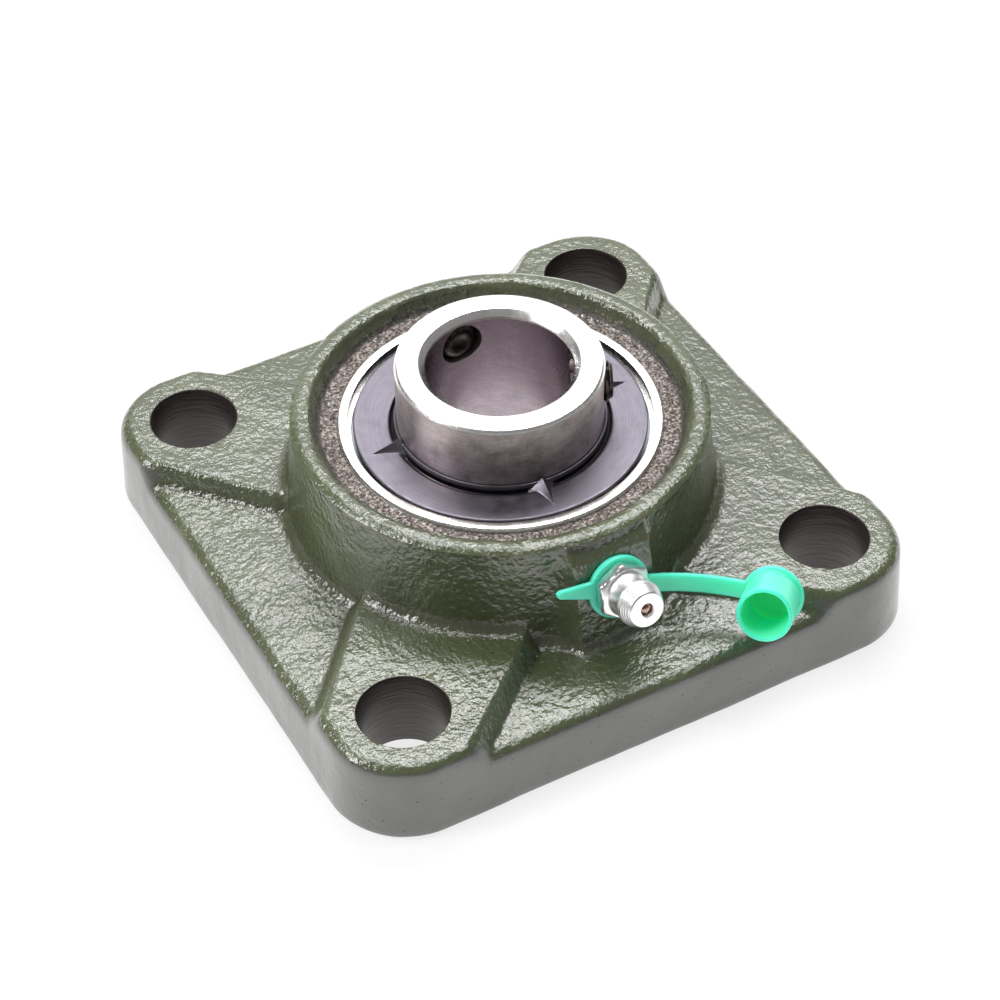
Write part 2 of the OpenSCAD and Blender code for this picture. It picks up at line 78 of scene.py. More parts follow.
mounts = {mount["name"]: mount["dims"] for mount in frame["record"]["mounts"]}
BORE_R = mounts["shaft_bore"]["r_mm"]
BOLT = mounts["mounting_bolts"]["spacing_x_mm"] / 2
BOLT_R = mounts["mounting_bolts"]["hole_r_mm"]
FLANGE_HALF, RIM_Z = corners_mm("housing")[1, [0, 2]] - [0.1, 0.0]
INNER_R, NOSE_Z = corners_mm("inner_ring")[1, [0, 2]]
INNER_BACK = corners_mm("inner_ring")[0, 2]
OUTER_R = corners_mm("outer_ring")[1, 0]
outer_back, outer_front = corners_mm("outer_ring")[:, 2]
CENTRE_Z, OUTER_HALF = (outer_front + outer_back) / 2, (outer_front - outer_back) / 2
SEAT_R = OUTER_R + 0.03
NIPPLE_TILT = np.radians(16.0)
NIPPLE_SEAT = np.array([0.0, -30.9, 18.2])
NIPPLE_OUT = np.array([0.0, -np.cos(NIPPLE_TILT), np.sin(NIPPLE_TILT)])
NIPPLE_UP = np.array([0.0, np.sin(NIPPLE_TILT), np.cos(NIPPLE_TILT)])
NIPPLE_AXES = np.array([[1.0, 0.0, 0.0], NIPPLE_UP, NIPPLE_OUT])
print("bore %.1f mm, bolts %.1f mm apart, centre %.1f mm up" % (2 * BORE_R, 2 * BOLT, CENTRE_Z))

# %% [markdown]
# ## From a grid of points to a mesh
# Most parts of a bearing are turned or pressed, so a surface with two parameters describes them:
# one runs along a profile and one round an axis. A grid of points and the faces between them is
# all that such a surface needs, and the faces come from index arithmetic on whole arrays. A shell
# is such a grid with its faces, and a piece is made of one shell or of several.


# %% Grid to mesh
def grid_faces(rows, cols, wrap_rows, wrap_cols):
    """Corner numbers of the quads between neighbouring points of a rows by cols grid."""
    i = np.arange(rows if wrap_rows else rows - 1)[:, None]
    j = np.arange(cols if wrap_cols else cols - 1)[None, :]
    i2, j2 = (i + 1) % rows, (j + 1) % cols
    quads = np.stack([i * cols + j, i * cols + j2, i2 * cols + j2, i2 * cols + j], axis=-1)
    return quads.reshape(-1, 4)


def shell(points, wrap_rows=True):
    """A grid that closes along its columns, and along its rows unless they end on an axis."""
    return points, grid_faces(*points.shape[:2], wrap_rows, True)


def shade(piece, sharp):
    """Smooth shading, with the edges above the angle in degrees kept sharp."""
    piece.data.shade_smooth()
    piece.data.set_sharp_from_angle(angle=np.radians(sharp))


def mesh_piece(name, shells, sharp):
    """A piece from shells in millimetres: doubles are merged and faces turned outwards."""
    first = np.cumsum([0] + [points.size // 3 for points, _ in shells])
    points = np.vstack([points.reshape(-1, 3) for points, _ in shells]) * MM
    quads = np.vstack([faces + start for (_, faces), start in zip(shells, first)])
    mesh = bpy.data.meshes.new(name)
    mesh.from_pydata(points, [], quads.tolist())
    work = bmesh.new()
    work.from_mesh(mesh)
    bmesh.ops.remove_doubles(work, verts=work.verts, dist=1e-7)
    bmesh.ops.recalc_face_normals(work, faces=work.faces)
    work.to_mesh(mesh)
    work.free()
    piece = bpy.data.objects.new(name, mesh)
    bpy.context.scene.collection.objects.link(piece)
    shade(piece, sharp)
    return piece


print("a closed grid of 3 by 4 points has", len(grid_faces(3, 4, True, True)), "faces")

# %% [markdown]
# ## Profiles and where they go
# A turned part is drawn as half of its section. Real corners are never sharp, so each one is
# rounded a little before the profile goes round the axis. Parts that don't stand on the bore's axis
# are made upright at the origin first, and then moved to their own axis.


# %% Profiles, turning and placing
def softened(corners, cut, steps=4):
    """A closed profile with each corner rounded: a quadratic curve starts and ends at the cut distance
    from the corner, (1-t)^2 start + 2t(1-t) corner + t^2 end."""
    c = np.asarray(corners, float)
    cut = np.broadcast_to(np.asarray(cut, float), len(c))[:, None]
    before, after = np.roll(c, 1, axis=0) - c, np.roll(c, -1, axis=0) - c
    start = c + before * np.minimum(cut / np.linalg.norm(before, axis=1, keepdims=True), 0.45)
    end = c + after * np.minimum(cut / np.linalg.norm(after, axis=1, keepdims=True), 0.45)
    t = np.linspace(0, 1, steps)[None, :, None]
    curve = (1 - t) ** 2 * start[:, None] + 2 * t * (1 - t) * c[:, None] + t ** 2 * end[:, None]
    return curve.reshape(-1, 2)


def turned(profile, sides):
    """Points of a profile (radius, height) carried round the Z axis: x = r cos a, y = r sin a."""
    a = np.linspace(0, TURN, sides, endpoint=False)
    profile = np.asarray(profile, float)
    r, z = profile[:, :1], profile[:, 1:]
    return np.stack(np.broadcast_arrays(r * np.cos(a), r * np.sin(a), z), axis=-1)


def loft(sections):
    """A closed solid from equal sections in a row, with both ends closed to a point at their middle."""
    ends = sections[[0, -1]].mean(axis=1, keepdims=True) + 0 * sections[[0, -1]]
    return shell(np.concatenate([ends[:1], sections, ends[1:]]), wrap_rows=False)


def on_nipple(points):
    """Moves points from the nipple's frame (x across, y up along its seat, z outwards) to the object's."""
    return NIPPLE_SEAT + points @ NIPPLE_AXES


def on_spoke(points, angle, height):
    """Moves points from a frame whose z runs outwards from the bore's axis, at an angle and a height."""
    x, y, out = points[..., 0], points[..., 1], points[..., 2]
    return np.stack([out * np.cos(angle) - x * np.sin(angle),
                     out * np.sin(angle) + x * np.cos(angle), y + height], axis=-1)


print("the nipple's seat is", np.round(on_nipple(np.zeros(3)), 1), "mm from the origin")

# %% [markdown]
# ## Noise for a cast skin
# Sand leaves a casting slightly lumpy. Value noise gives such lumps: each point of a coarse lattice
# has a fixed random height, and the space between is blended smoothly.


# %% Lattice noise and soft meetings
def lattice(i, j, k, seed):
    """A fixed random number from -1 to 1 for each lattice point: its indices are multiplied by large
    odd numbers, added, and their bits are folded twice."""
    h = (i * 374761393 + j * 668265263 + k * 1442695041 + seed * 974634777) & 0xFFFFFFFF
    h = ((h ^ (h >> 13)) * 1274126177) & 0xFFFFFFFF
    return ((h ^ (h >> 16)) & 0xFFFF) / 32767.5 - 1.0


def lumps(p, size, seed):
    """Value noise of the given lump size: the eight lattice heights round a point, blended by
    w = f^2 (3 - 2f) along each axis."""
    q = p / size
    base = np.floor(q).astype(np.int64)
    f = q - base
    w = f * f * (3 - 2 * f)
    total = np.zeros(p.shape[:-1])
    for corner in np.ndindex(2, 2, 2):
        part = np.prod([w[..., n] if c else 1 - w[..., n] for n, c in enumerate(corner)], axis=0)
        total += part * lattice(*(base[..., n] + c for n, c in enumerate(corner)), seed)
    return total


def soft_max(a, b, k):
    """The larger of two surfaces, with a fillet about k wide where they meet."""
    return np.maximum(a, b) + np.maximum(k - np.abs(a - b), 0) ** 2 / (4 * k)


def soft_min(a, b, k):
    """The smaller of two surfaces, with the same fillet."""
    return -soft_max(-a, -b, k)


print("one lump's height on the bore's axis: %.3f" % lumps(np.zeros((1, 3)) + 0.5, 1.0, 3)[0])

# %% [markdown]
# ## The camera
# The photograph was taken with a long lens from the front left and above. The place, the turn and
# the lens were found by fitting the bolt holes, the hub's rim and the rings, so the camera is set
# from those numbers and never moves for a pose.

# %% Camera
CAMERA_AZIMUTH, CAMERA_HEIGHT, CAMERA_ROLL = np.radians([-28.2320, 43.8090, -1.0445])
CAMERA_DISTANCE, FOCAL_PIXELS = 399.910, 2911.32
AIM_LEFT, AIM_DOWN = 0.1686, 5.2972
SENSOR, FRAME_PIXELS = 36.0, 1000.0
back = np.array([np.sin(CAMERA_AZIMUTH) * np.cos(CAMERA_HEIGHT),
                 -np.cos(CAMERA_AZIMUTH) * np.cos(CAMERA_HEIGHT), np.sin(CAMERA_HEIGHT)])
level = np.array([np.cos(CAMERA_AZIMUTH), np.sin(CAMERA_AZIMUTH), 0.0])
rise = np.cross(back, level)
right = level * np.cos(CAMERA_ROLL) + rise * np.sin(CAMERA_ROLL)
up = -level * np.sin(CAMERA_ROLL) + rise * np.cos(CAMERA_ROLL)
aim = np.array([0.0, 0.0, CENTRE_Z]) - AIM_LEFT * right - AIM_DOWN * up
eye = aim + back * CAMERA_DISTANCE

lens = bpy.data.cameras.new("camera")
lens.lens = FOCAL_PIXELS / FRAME_PIXELS * SENSOR
lens.sensor_width = SENSOR
lens.clip_start, lens.clip_end = 0.01, 20.0
camera = bpy.data.objects.new("camera", lens)
turn_and_place = np.vstack([np.column_stack([right, up, back, eye * MM]), [0, 0, 0, 1]])
camera.matrix_world = Matrix(turn_and_place.tolist())
bpy.context.scene.collection.objects.link(camera)
bpy.context.scene.camera = camera
print("lens %.1f mm, eye %s mm" % (lens.lens, np.round(eye, 1)))

# %% [markdown]
# ## Helpers for materials
# A colour is written as an sRGB hex value, as a paint chip would be, and one function turns it into
# the linear values that Blender computes with. A material is a shader with a few nodes in front of
# it, so one small function adds any node, with its settings and its links, and a pattern's size is
# always given in millimetres of the real object.


# %% Colour and node helpers
def linear(hex_colour):
    """Linear red, green, blue and alpha of an sRGB hex colour: c / 12.92 in the darkest part of the
    scale, and ((c + 0.055) / 1.055) ^ 2.4 above it."""
    c = np.array([int(hex_colour[i:i + 2], 16) for i in (1, 3, 5)]) / 255.0
    return (*np.where(c <= 0.04045, c / 12.92, ((c + 0.055) / 1.055) ** 2.4).tolist(), 1.0)


def grey(value):
    """A linear grey, for white, for a factor, or for a roughness that a ramp gives."""
    return (value, value, value, 1.0)


def per_mm(size):
    """Scale of a pattern, read from places in metres, whose features are this many millimetres wide."""
    return 1.0 / (size * MM)


def fill(mat, node, inputs):
    """Fills a node's inputs: a value is set, and a socket, or a node by its first output, is linked."""
    for key, value in inputs.items():
        if isinstance(value, bpy.types.Node):
            value = value.outputs[0]
        if isinstance(value, bpy.types.NodeSocket):
            mat.node_tree.links.new(value, node.inputs[key])
        else:
            node.inputs[key].default_value = value


def add(mat, kind, inputs, stops=(), **settings):
    """Adds one node with its settings, the (position, colour) stops of its ramp, and its inputs."""
    made = mat.node_tree.nodes.new("ShaderNode" + kind)
    for key, value in settings.items():
        setattr(made, key, value)
    for extra, _ in stops[2:]:
        made.color_ramp.elements.new(extra)
    for number, (place, colour) in enumerate(stops):
        made.color_ramp.elements[number].position = place
        made.color_ramp.elements[number].color = colour
    fill(mat, made, inputs)
    return made


def new_material(name):
    """A node material, its Principled shader, and the Object coordinates that its patterns read."""
    mat = bpy.data.materials.new(name)
    mat.use_nodes = True
    return mat, mat.node_tree.nodes["Principled BSDF"], add(mat, "TexCoord", {}).outputs["Object"]


print("mid grey #808080 is %.3f in linear light" % linear("#808080")[0])

# %% [markdown]
# ## The casting's finishes
# The housing is grey iron cast in sand and dipped in a thin olive enamel. The enamel is glossy but
# it follows the sand's grain, so its highlights break up into sparkles a few tenths of a millimetre
# wide. A clear coat would be too smooth here: the gloss sits on the bumps themselves. Concave
# corners, found by the geometry's own pointiness, are darkened brown as painted shade.

# %% Enamel over sand-cast iron
# Sand grains are 0.2 to 0.3 mm wide. Under the enamel they run together into bumps about 0.85 mm wide,
# which lie on slow waves of 4.5 mm.
SAND_GRAIN, SKIN_WAVE = 0.85, 4.5


def sand_cast_enamel(name, deep, pale, wave_mm, grain_mm, fine_mm, rough, apart_mm, dot_mm):
    """Dipped enamel on a cast skin. Its relief has three sizes, a slow wave, the sand's grain and a fine
    skin, each given as a depth, and bare pinholes lie where a random point is nearer than the dot."""
    mat, shader, place = new_material(name)
    cloud = add(mat, "TexNoise", {"Vector": place, "Scale": per_mm(9.0), "Detail": 2.0})
    tone = add(mat, "ValToRGB", {0: cloud}, stops=((0.3, linear(deep)), (0.7, linear(pale))))
    form = add(mat, "NewGeometry", {})
    bend = form.outputs["Pointiness"]
    # Painted shade: faces of low pointiness, the concave corners, are mixed towards a dark brown.
    hollow_shade_factor = add(mat, "ValToRGB", {0: bend}, stops=((0.455, grey(0)), (0.492, grey(1))))
    tone = add(mat, "Mix", {0: hollow_shade_factor, 6: linear("#2a221b"), 7: tone}, data_type="RGBA").outputs[2]
    dots = add(mat, "TexVoronoi", {"Vector": place, "Scale": per_mm(apart_mm)}).outputs["Distance"]
    pinhole = add(mat, "Math", {0: dots, 1: dot_mm / apart_mm}, operation="LESS_THAN")
    tone = add(mat, "Mix", {0: pinhole, 6: tone, 7: linear("#15140f")}, data_type="RGBA").outputs[2]
    relief = form.outputs["Normal"]
    layers = ((SKIN_WAVE, 1.0, 0.5, wave_mm), (SAND_GRAIN, 1.5, 0.5, grain_mm),
              (0.35 * SAND_GRAIN, 2.0, 0.6, fine_mm))
    for width, detail, uneven, depth in layers:
        sand = add(mat, "TexNoise", {"Vector": place, "Scale": per_mm(width), "Detail": detail,
                                     "Roughness": uneven})
        relief = add(mat, "Bump", {"Height": sand, "Distance": depth * MM, "Strength": 1.0,
                                   "Normal": relief})
    fill(mat, shader, {"Base Color": tone, "Roughness": rough, "IOR": 1.52, "Specular IOR Level": 0.8,
                       "Normal": relief})
    return mat


# Upper side: full grain, so the gloss breaks into sparkles.
ENAMEL = sand_cast_enamel("sand_cast_olive_enamel", "#424832", "#50563d", wave_mm=0.26, grain_mm=0.2,
                          fine_mm=0.055, rough=0.165, apart_mm=5.0, dot_mm=0.13)
# Drafted sides: drawn against the mould's wall, so smoother and with more pinholes; their greyer tone is a
# painted reflection of the white floor.
SIDE_ENAMEL = sand_cast_enamel("mould_wall_enamel_painted_reflection", "#444540", "#52534c", wave_mm=0.1, grain_mm=0.05,
                               fine_mm=0.014, rough=0.32, apart_mm=1.7, dot_mm=0.16)
print("enamels:", ENAMEL.name, SIDE_ENAMEL.name)

# %% [markdown]
# ## Bare iron
# Where a tool has cut, the iron is bare and a little oiled, and each tool leaves its own marks: pits,
# rings or ridges. The marks are one noise of the right width, and what makes them pits, rings or
# ridges is only the place that the noise reads: as it is, as a radius, or drawn out round a hole.


# %% Bare iron
def ring_place(mat, place, drift):
    """A place in a ring's own terms: the radius, the angle times a drift in metres, and the height."""
    xyz = add(mat, "SeparateXYZ", {0: place})
    flat = add(mat, "CombineXYZ", {0: xyz.outputs[0], 1: xyz.outputs[1]})
    radius = add(mat, "VectorMath", {0: flat}, operation="LENGTH").outputs["Value"]
    angle = add(mat, "Math", {0: xyz.outputs[1], 1: xyz.outputs[0]}, operation="ARCTAN2")
    along = add(mat, "Math", {0: angle, 1: drift}, operation="MULTIPLY")
    return add(mat, "CombineXYZ", {0: radius, 1: along, 2: xyz.outputs[2]})


def plain_finish(name, width_mm, detail, uneven, tones, depth_mm, stretch=(1, 1, 1), ringed=False,
                 polish=(), **sockets):
    """A finish whose tone, relief and, if wanted, roughness share one noise of the given width, which is
    stretched or runs round in rings. Its constant values go to the shader's own sockets."""
    mat, shader, place = new_material(name)
    if ringed:
        spot = ring_place(mat, place, 0.0)
    else:
        spot = add(mat, "Mapping", {"Vector": place, "Scale": stretch})
    marks = add(mat, "TexNoise", {"Vector": spot, "Scale": per_mm(width_mm), "Detail": detail,
                                  "Roughness": uneven})
    stops = tuple((position, linear(colour)) for position, colour in tones)
    tone = add(mat, "ValToRGB", {0: marks}, stops=stops)
    relief = add(mat, "Bump", {"Height": marks, "Distance": depth_mm * MM, "Strength": 1.0})
    fill(mat, shader, {"Base Color": tone, "Normal": relief})
    fill(mat, shader, {key.replace("_", " "): value for key, value in sockets.items()})
    if polish:
        stops = tuple((position, grey(rough)) for position, rough in polish)
        fill(mat, shader, {"Roughness": add(mat, "ValToRGB", {0: marks}, stops=stops)})
    return mat


# Turned ledge and recess: the tool tears grains out of grey iron, so it is pitted and sparkles.
TURNED_IRON = plain_finish("turned_grey_iron", 0.34, 4.0, 0.65,
                           ((0.36, "#2a2422"), (0.52, "#5f5854"), (0.68, "#a19a95")), 0.1,
                           polish=((0.4, 0.6), (0.65, 0.32)), Metallic=0.85)
# Drilled holes: oily and dark, with the drill's ridges round them.
DRILLED_IRON = plain_finish("drilled_iron_dark_oiled", 0.32, 2.0, 0.5, ((0.3, "#221c1b"), (0.7, "#453c39")),
                            0.05, stretch=(0.06, 0.06, 1.0), Roughness=0.42, Metallic=0.4)
# The step where the tool broke through the cast skin: gritty, with a few bright grains, and dark as painted
# shade under the rim.
BROKEN_SKIN_WITH_RIM_SHADE = plain_finish("torn_cast_skin_painted_rim_shade", 0.6, 4.0, 0.7,
                           ((0.42, "#1f1c14"), (0.6, "#3f3b2e"), (0.72, "#8b867a")), 0.3,
                           Roughness=0.4, Specular_IOR_Level=0.8)
# The mounting face: faced on a lathe, so it shows fine rings round the bore.
FACED_IRON = plain_finish("faced_grey_iron", 0.5, 2.0, 0.5, ((0.3, "#7f7b76"), (0.7, "#a5a19b")), 0.02,
                          ringed=True, Metallic=0.9, Roughness=0.42)
print("bare iron:", [mat.name for mat in (TURNED_IRON, DRILLED_IRON, BROKEN_SKIN_WITH_RIM_SHADE, FACED_IRON)])

# %% [markdown]
# ## The housing's outline and top
# Seen from above the flange is a square with round corners, and every level of its drafted side is
# the same outline set inwards. A ray from the bore's axis meets a straight side at a / max(cos, sin)
# and a corner where it meets the corner's circle. The top is a low plate with a raised arm running
# to each bolt boss: a height over the plane, blended from the plate and a slanting arm side.

# %% Outline and height of the flange
# How far out the centre of the flange's corner lies along both axes.
CORNER_C = 32.0
# Heights of the plate's edge and of the arms above the mounting face.
PLATE_Z, BOSS_Z = 9.4, 12.25
# Radius of a bolt boss, half an arm's width at the hub, how far its side runs out as it falls, and the
# distance from the axis at which the arm starts to narrow.
BOSS_R, ARM_HUB_HALF, ARM_SLOPE, ARM_FROM = 10.0, 11.9, 1.5, 24.0
# In front of the nipple the plate is flat this far to each side, and then starts to rise.
FRONT_FLAT, FRONT_BLEND = 7.0, 8.0


def outline(angle, inset):
    """Radius of the rounded square at an angle, set inwards by a distance. The corner's centre stays."""
    u, v = np.abs(np.cos(angle)), np.abs(np.sin(angle))
    flat = (FLANGE_HALF - inset) / np.maximum(u, v)
    along = CORNER_C * (u + v)
    corner_r = FLANGE_HALF - CORNER_C - inset
    corner = along + np.sqrt(np.maximum(along ** 2 - 2 * CORNER_C ** 2 + corner_r ** 2, 0))
    return np.where(flat * np.minimum(u, v) > CORNER_C, corner, flat)


def top_height(x, y):
    """Height of the flange's upper side: soft maximum of the plate and of a plane that falls from the
    arm's edge, cut off softly at the boss height. The distance to an arm's edge is |v| - w(u) along
    the diagonal (u) and across it (v), and to a boss it is the distance to its circle. The plate
    rises a little towards the hub, but not in front of the nipple."""
    u = (np.abs(x) + np.abs(y)) / np.sqrt(2)
    v = np.abs(np.abs(x) - np.abs(y)) / np.sqrt(2)
    reach = BOLT * np.sqrt(2)
    width = ARM_HUB_HALF + (BOSS_R - ARM_HUB_HALF) * np.clip((u - ARM_FROM) / (reach - ARM_FROM), 0, 1)
    edge = np.where(u < reach, v - width, np.hypot(u - reach, v) - BOSS_R)
    side = BOSS_Z + 0.3 - (BOSS_Z - PLATE_Z) * edge / ARM_SLOPE
    rise = 0.05 * np.clip(FLANGE_HALF - 1.5 - np.maximum(np.abs(x), np.abs(y)), 0, 13)
    beside_nipple = np.clip((np.abs(x) - FRONT_FLAT) / FRONT_BLEND, 0, 1)
    plate = PLATE_Z + rise * np.where(y < 0, beside_nipple, 1)
    return soft_max(plate, soft_min(side, np.full_like(x, BOSS_Z), 1.1), 1.0)


print("corner %.1f mm from the axis" % outline(np.pi / 4, 0.0))

# %% [markdown]
# ## The hub and the nipple's boss
# The hub's wall leans in a little, as a casting must to leave its mould. At the front a block stands
# out of it for the grease nipple. Both are radii at an angle and a height, and their soft maximum
# gives the wall with a fillet between the two.

# %% Radius of the hub wall
# The hub's radius at the parting line under the rim, and at its base.
HUB_R, HUB_BASE_R, HUB_BASE_Z, PARTING_Z = 28.4, 29.5, 11.4, 24.9
# Half the block's width, its top, how far out its foot starts, and the angle it may reach to each side.
BLOCK_HALF, BLOCK_TOP_Z, BLOCK_FOOT, BLOCK_REACH = 6.2, 23.6, 30.9, 0.6


def seat_line(z):
    """Distance from the bore's axis to the nipple's seat plane at a height."""
    return -NIPPLE_SEAT[1] - (z - NIPPLE_SEAT[2]) * np.tan(NIPPLE_TILT)


def wall_radius(angle, z):
    """Radius of the hub's outside with the nipple's block. The block's front is a line in height that
    spreads towards the flange, and outside its width the radius falls off steeply."""
    hub = HUB_BASE_R + (HUB_R - HUB_BASE_R) * (z - HUB_BASE_Z) / (PARTING_Z - HUB_BASE_Z)
    front = soft_min(seat_line(z) - 0.05, BLOCK_FOOT + 1.9 * np.exp(-(z - PLATE_Z) / 3.0), 0.8)
    front = soft_min(front, hub + (BLOCK_TOP_Z - z) * 1.6, 0.8)
    turn = (angle + np.pi / 2 + np.pi) % TURN - np.pi
    near = np.clip(np.abs(turn), 0, BLOCK_REACH)
    reach = front / np.cos(near)
    fall = np.maximum(np.abs(reach * np.sin(near)) - BLOCK_HALF + 0.6, 0) * 1.3
    return soft_max(hub, np.where(np.abs(turn) < BLOCK_REACH, reach - fall, 0), 2.0)


front_middle = np.array([-np.pi / 2])
print("block stands %.1f mm from the axis at the nipple" % wall_radius(front_middle, NIPPLE_SEAT[2])[0])

# %% [markdown]
# ## The housing as one grid
# At each angle the housing's section is a closed loop: out along the mounting face, up the side,
# over the rounded edge, in along the top, up the hub, over its rim and down through the seat. The
# loop has the same number of points at every angle, so the whole casting is one grid that closes
# both ways. The cast skin gets its lumps along the surface's own normals, but machined faces stay
# true.

# %% Section loops of the housing
SIDES = 760
ANGLE = np.linspace(0, TURN, SIDES, endpoint=False)[None, :]
# Radii of the flange's upper edge and of its foot, how far the side leans in, and the hub's fillet.
EDGE_R, FOOT_R, DRAFT, FILLET = 1.8, 0.7, 0.55, 2.0
# The turned ledge's height, half the seat's height, the grease groove and the recess at the back.
LEDGE_Z, SEAT_HALF, GROOVE_R, RECESS_Z = 22.9, 7.85, 24.4, 7.1


def column(values):
    """Values as one column, to be spread over all angles."""
    return np.asarray(values, float)[:, None]


def rows_of(r, z):
    """Rows of (radius, height) over all angles."""
    return np.stack(np.broadcast_arrays(r, z), axis=-1)


def flange_rows():
    """Mounting face, foot, drafted side, rounded edge and top, as far as the hub's fillet."""
    q = column(np.linspace(0, np.pi / 2, 5))
    face = rows_of(27.0 + (outline(ANGLE, FOOT_R + 0.1) - 27.0) * column([0, 0.3, 0.7, 1.0]), 0.0)
    foot = rows_of(outline(ANGLE, FOOT_R * (1 - np.sin(q[1:]))), FOOT_R * (1 - np.cos(q[1:])))
    brim = outline(ANGLE, DRAFT + EDGE_R)
    brim_z = top_height(brim * np.cos(ANGLE), brim * np.sin(ANGLE))
    t = column(np.linspace(0, 1, 12)[1:-1])
    side = rows_of(outline(ANGLE, DRAFT * t), FOOT_R + (brim_z - EDGE_R - FOOT_R) * t)
    q = column(np.linspace(0, np.pi / 2, 6))
    brow = rows_of(outline(ANGLE, DRAFT + EDGE_R * (1 - np.cos(q))), brim_z - EDGE_R * (1 - np.sin(q)))
    base = top_height(31.3 * np.cos(ANGLE), 31.3 * np.sin(ANGLE))
    hub_foot = wall_radius(ANGLE, base + FILLET) + FILLET
    r = brim + (hub_foot - brim) * column(np.linspace(0, 1, 36)[1:])
    top = rows_of(r, top_height(r * np.cos(ANGLE), r * np.sin(ANGLE)))
    return face, np.vstack([foot, side, brow, top]), hub_foot


def hub_rows(hub_foot):
    """The fillet, a quarter circle at the hub's foot, and the wall up to the parting line."""
    q = column(np.linspace(0, np.pi / 2, 8)[1:])
    foot_z = top_height(hub_foot * np.cos(ANGLE), hub_foot * np.sin(ANGLE))
    fillet = rows_of(hub_foot - FILLET * np.sin(q), foot_z + FILLET * (1 - np.cos(q)))
    t = column(np.linspace(0, 1, 23)[1:])
    start = fillet[-1:, :, 1]
    z = start + (PARTING_Z - start) * t
    gap = hub_foot - FILLET - wall_radius(ANGLE, start)
    return np.vstack([fillet, rows_of(wall_radius(ANGLE, z) + gap * (1 - t) ** 2, z)])


face, flange, hub_foot = flange_rows()
hub = hub_rows(hub_foot)
print("rows: face", len(face), "flange", len(flange), "hub", len(hub))

# %% [markdown]
# ## The inside of the housing
# Inside the rim the casting is turned: first a ledge, then the seat as a part of a sphere. The sphere
# is what lets the bearing swivel. A groove round its middle leads grease to the bearing's two holes.
# All of it is the same at every angle, so one profile is repeated.


# %% Inside profile and the closed loop
def inside_profile():
    """Rim, ledge, the seat's two arcs on each side of the grease groove, and the recess at the back."""
    rim = [[HUB_R + 0.07, PARTING_Z + 0.06], [HUB_R - 0.04, PARTING_Z + 0.14],
           [HUB_R - 0.3, PARTING_Z + 0.3], [27.7, RIM_Z - 0.1], [27.0, RIM_Z], [26.4, RIM_Z - 0.03],
           [26.0, RIM_Z - 0.16], [25.7, RIM_Z - 0.42], [25.5, 24.6], [25.3, 24.1], [25.05, 23.6],
           [24.75, 23.2], [24.5, LEDGE_Z + 0.12], [24.25, LEDGE_Z + 0.02], [23.8, LEDGE_Z],
           [22.9, LEDGE_Z], [22.35, LEDGE_Z]]
    end = np.arcsin(SEAT_HALF / SEAT_R)
    arcs = [np.linspace(end, np.arcsin(4.5 / SEAT_R), 4), np.linspace(np.arcsin(0.5 / SEAT_R), -end, 8)]
    upper, lower = [np.column_stack([SEAT_R * np.cos(a), CENTRE_Z + SEAT_R * np.sin(a)]) for a in arcs]
    groove = [[GROOVE_R, 19.4], [GROOVE_R, 15.6]]
    recess = [[22.3, RECESS_Z], [24.0, RECESS_Z], [25.8, RECESS_Z], [26.05, 6.8], [26.5, 3.4], [26.9, 0.3]]
    return np.vstack([rim, upper, groove, lower, recess])


# Rows of the profile that keep their cast skin: the rim's first ones and the recess's last ones.
CAST_RIM_ROWS, CAST_RECESS_ROWS = 12, 4
inside = np.repeat(inside_profile()[:, None], SIDES, axis=1)
section = np.vstack([face, flange, hub, inside])
skin = np.zeros(len(section))
skin[len(face) + 1:len(section) - len(inside) + CAST_RIM_ROWS] = 1.0
skin[-CAST_RECESS_ROWS:] = 0.6
print("housing grid:", section.shape[0], "rows by", SIDES)

# %% [markdown]
# ## The cast skin
# The grid is laid out round the axis, and each point of the cast skin moves a few hundredths of a
# millimetre along its own normal. Doing that to the points, and not only in the material, gives the
# outline and the edges the same lumps as the flats.


# %% Lay the grid out and add the cast skin
def housing_points():
    """x = r cos a, y = r sin a, then each point moves along its normal by two sizes of lumps, or by
    finer ones where the tool broke the skin. The normal is the cross product of the grid's two
    directions."""
    r, z = section[..., 0], section[..., 1]
    p = np.stack([r * np.cos(ANGLE), r * np.sin(ANGLE), z], axis=-1)
    along = np.roll(p, -1, axis=0) - np.roll(p, 1, axis=0)
    around = np.roll(p, -1, axis=1) - np.roll(p, 1, axis=1)
    normal = np.cross(around, along)
    normal /= np.linalg.norm(normal, axis=-1, keepdims=True) + 1e-12
    rough = 0.09 * lumps(p, 7.0, 3) + 0.05 * lumps(p, 2.6, 5)
    torn = (r < 26.2) & (z > LEDGE_Z + 0.05)
    rough = np.where(torn, 0.14 * lumps(p, 1.5, 9), rough)
    return p + normal * (rough * skin[:, None])[..., None]


housing = mesh_piece("housing_casting", [shell(housing_points())], 180.0)
print("housing casting:", len(housing.data.polygons), "faces")

# %% [markdown]
# ## Holes, slots and the nipple's seat
# Holes are drilled after casting, so they are cut here too: a cutter for each, turned about its own
# axis, is taken away from the casting. A small flare at a cutter's end leaves the worn edge that a
# drilled hole in painted iron has.

# %% Cut the machined features
# How much a hole widens at its ends, and the slots' radius and half width.
HOLE_FLARE = 0.3
SLOT_R, SLOT_HALF = 23.73, 8.8


def drill():
    """A bolt hole's cutter: a cylinder that widens by a quarter circle at both faces."""
    q = np.linspace(0, np.pi / 2, 5)
    r, step = BOLT_R + HOLE_FLARE * (1 - np.cos(q)), HOLE_FLARE * (1 - np.sin(q))
    widest = BOLT_R + HOLE_FLARE
    lower, upper = np.column_stack([r, step])[::-1], np.column_stack([r, BOSS_Z - step])
    below, above = [[0, -1], [widest, -1]], [[widest, BOSS_Z + 2], [0, BOSS_Z + 2]]
    return turned(np.vstack([below, lower, upper, above]), 96)


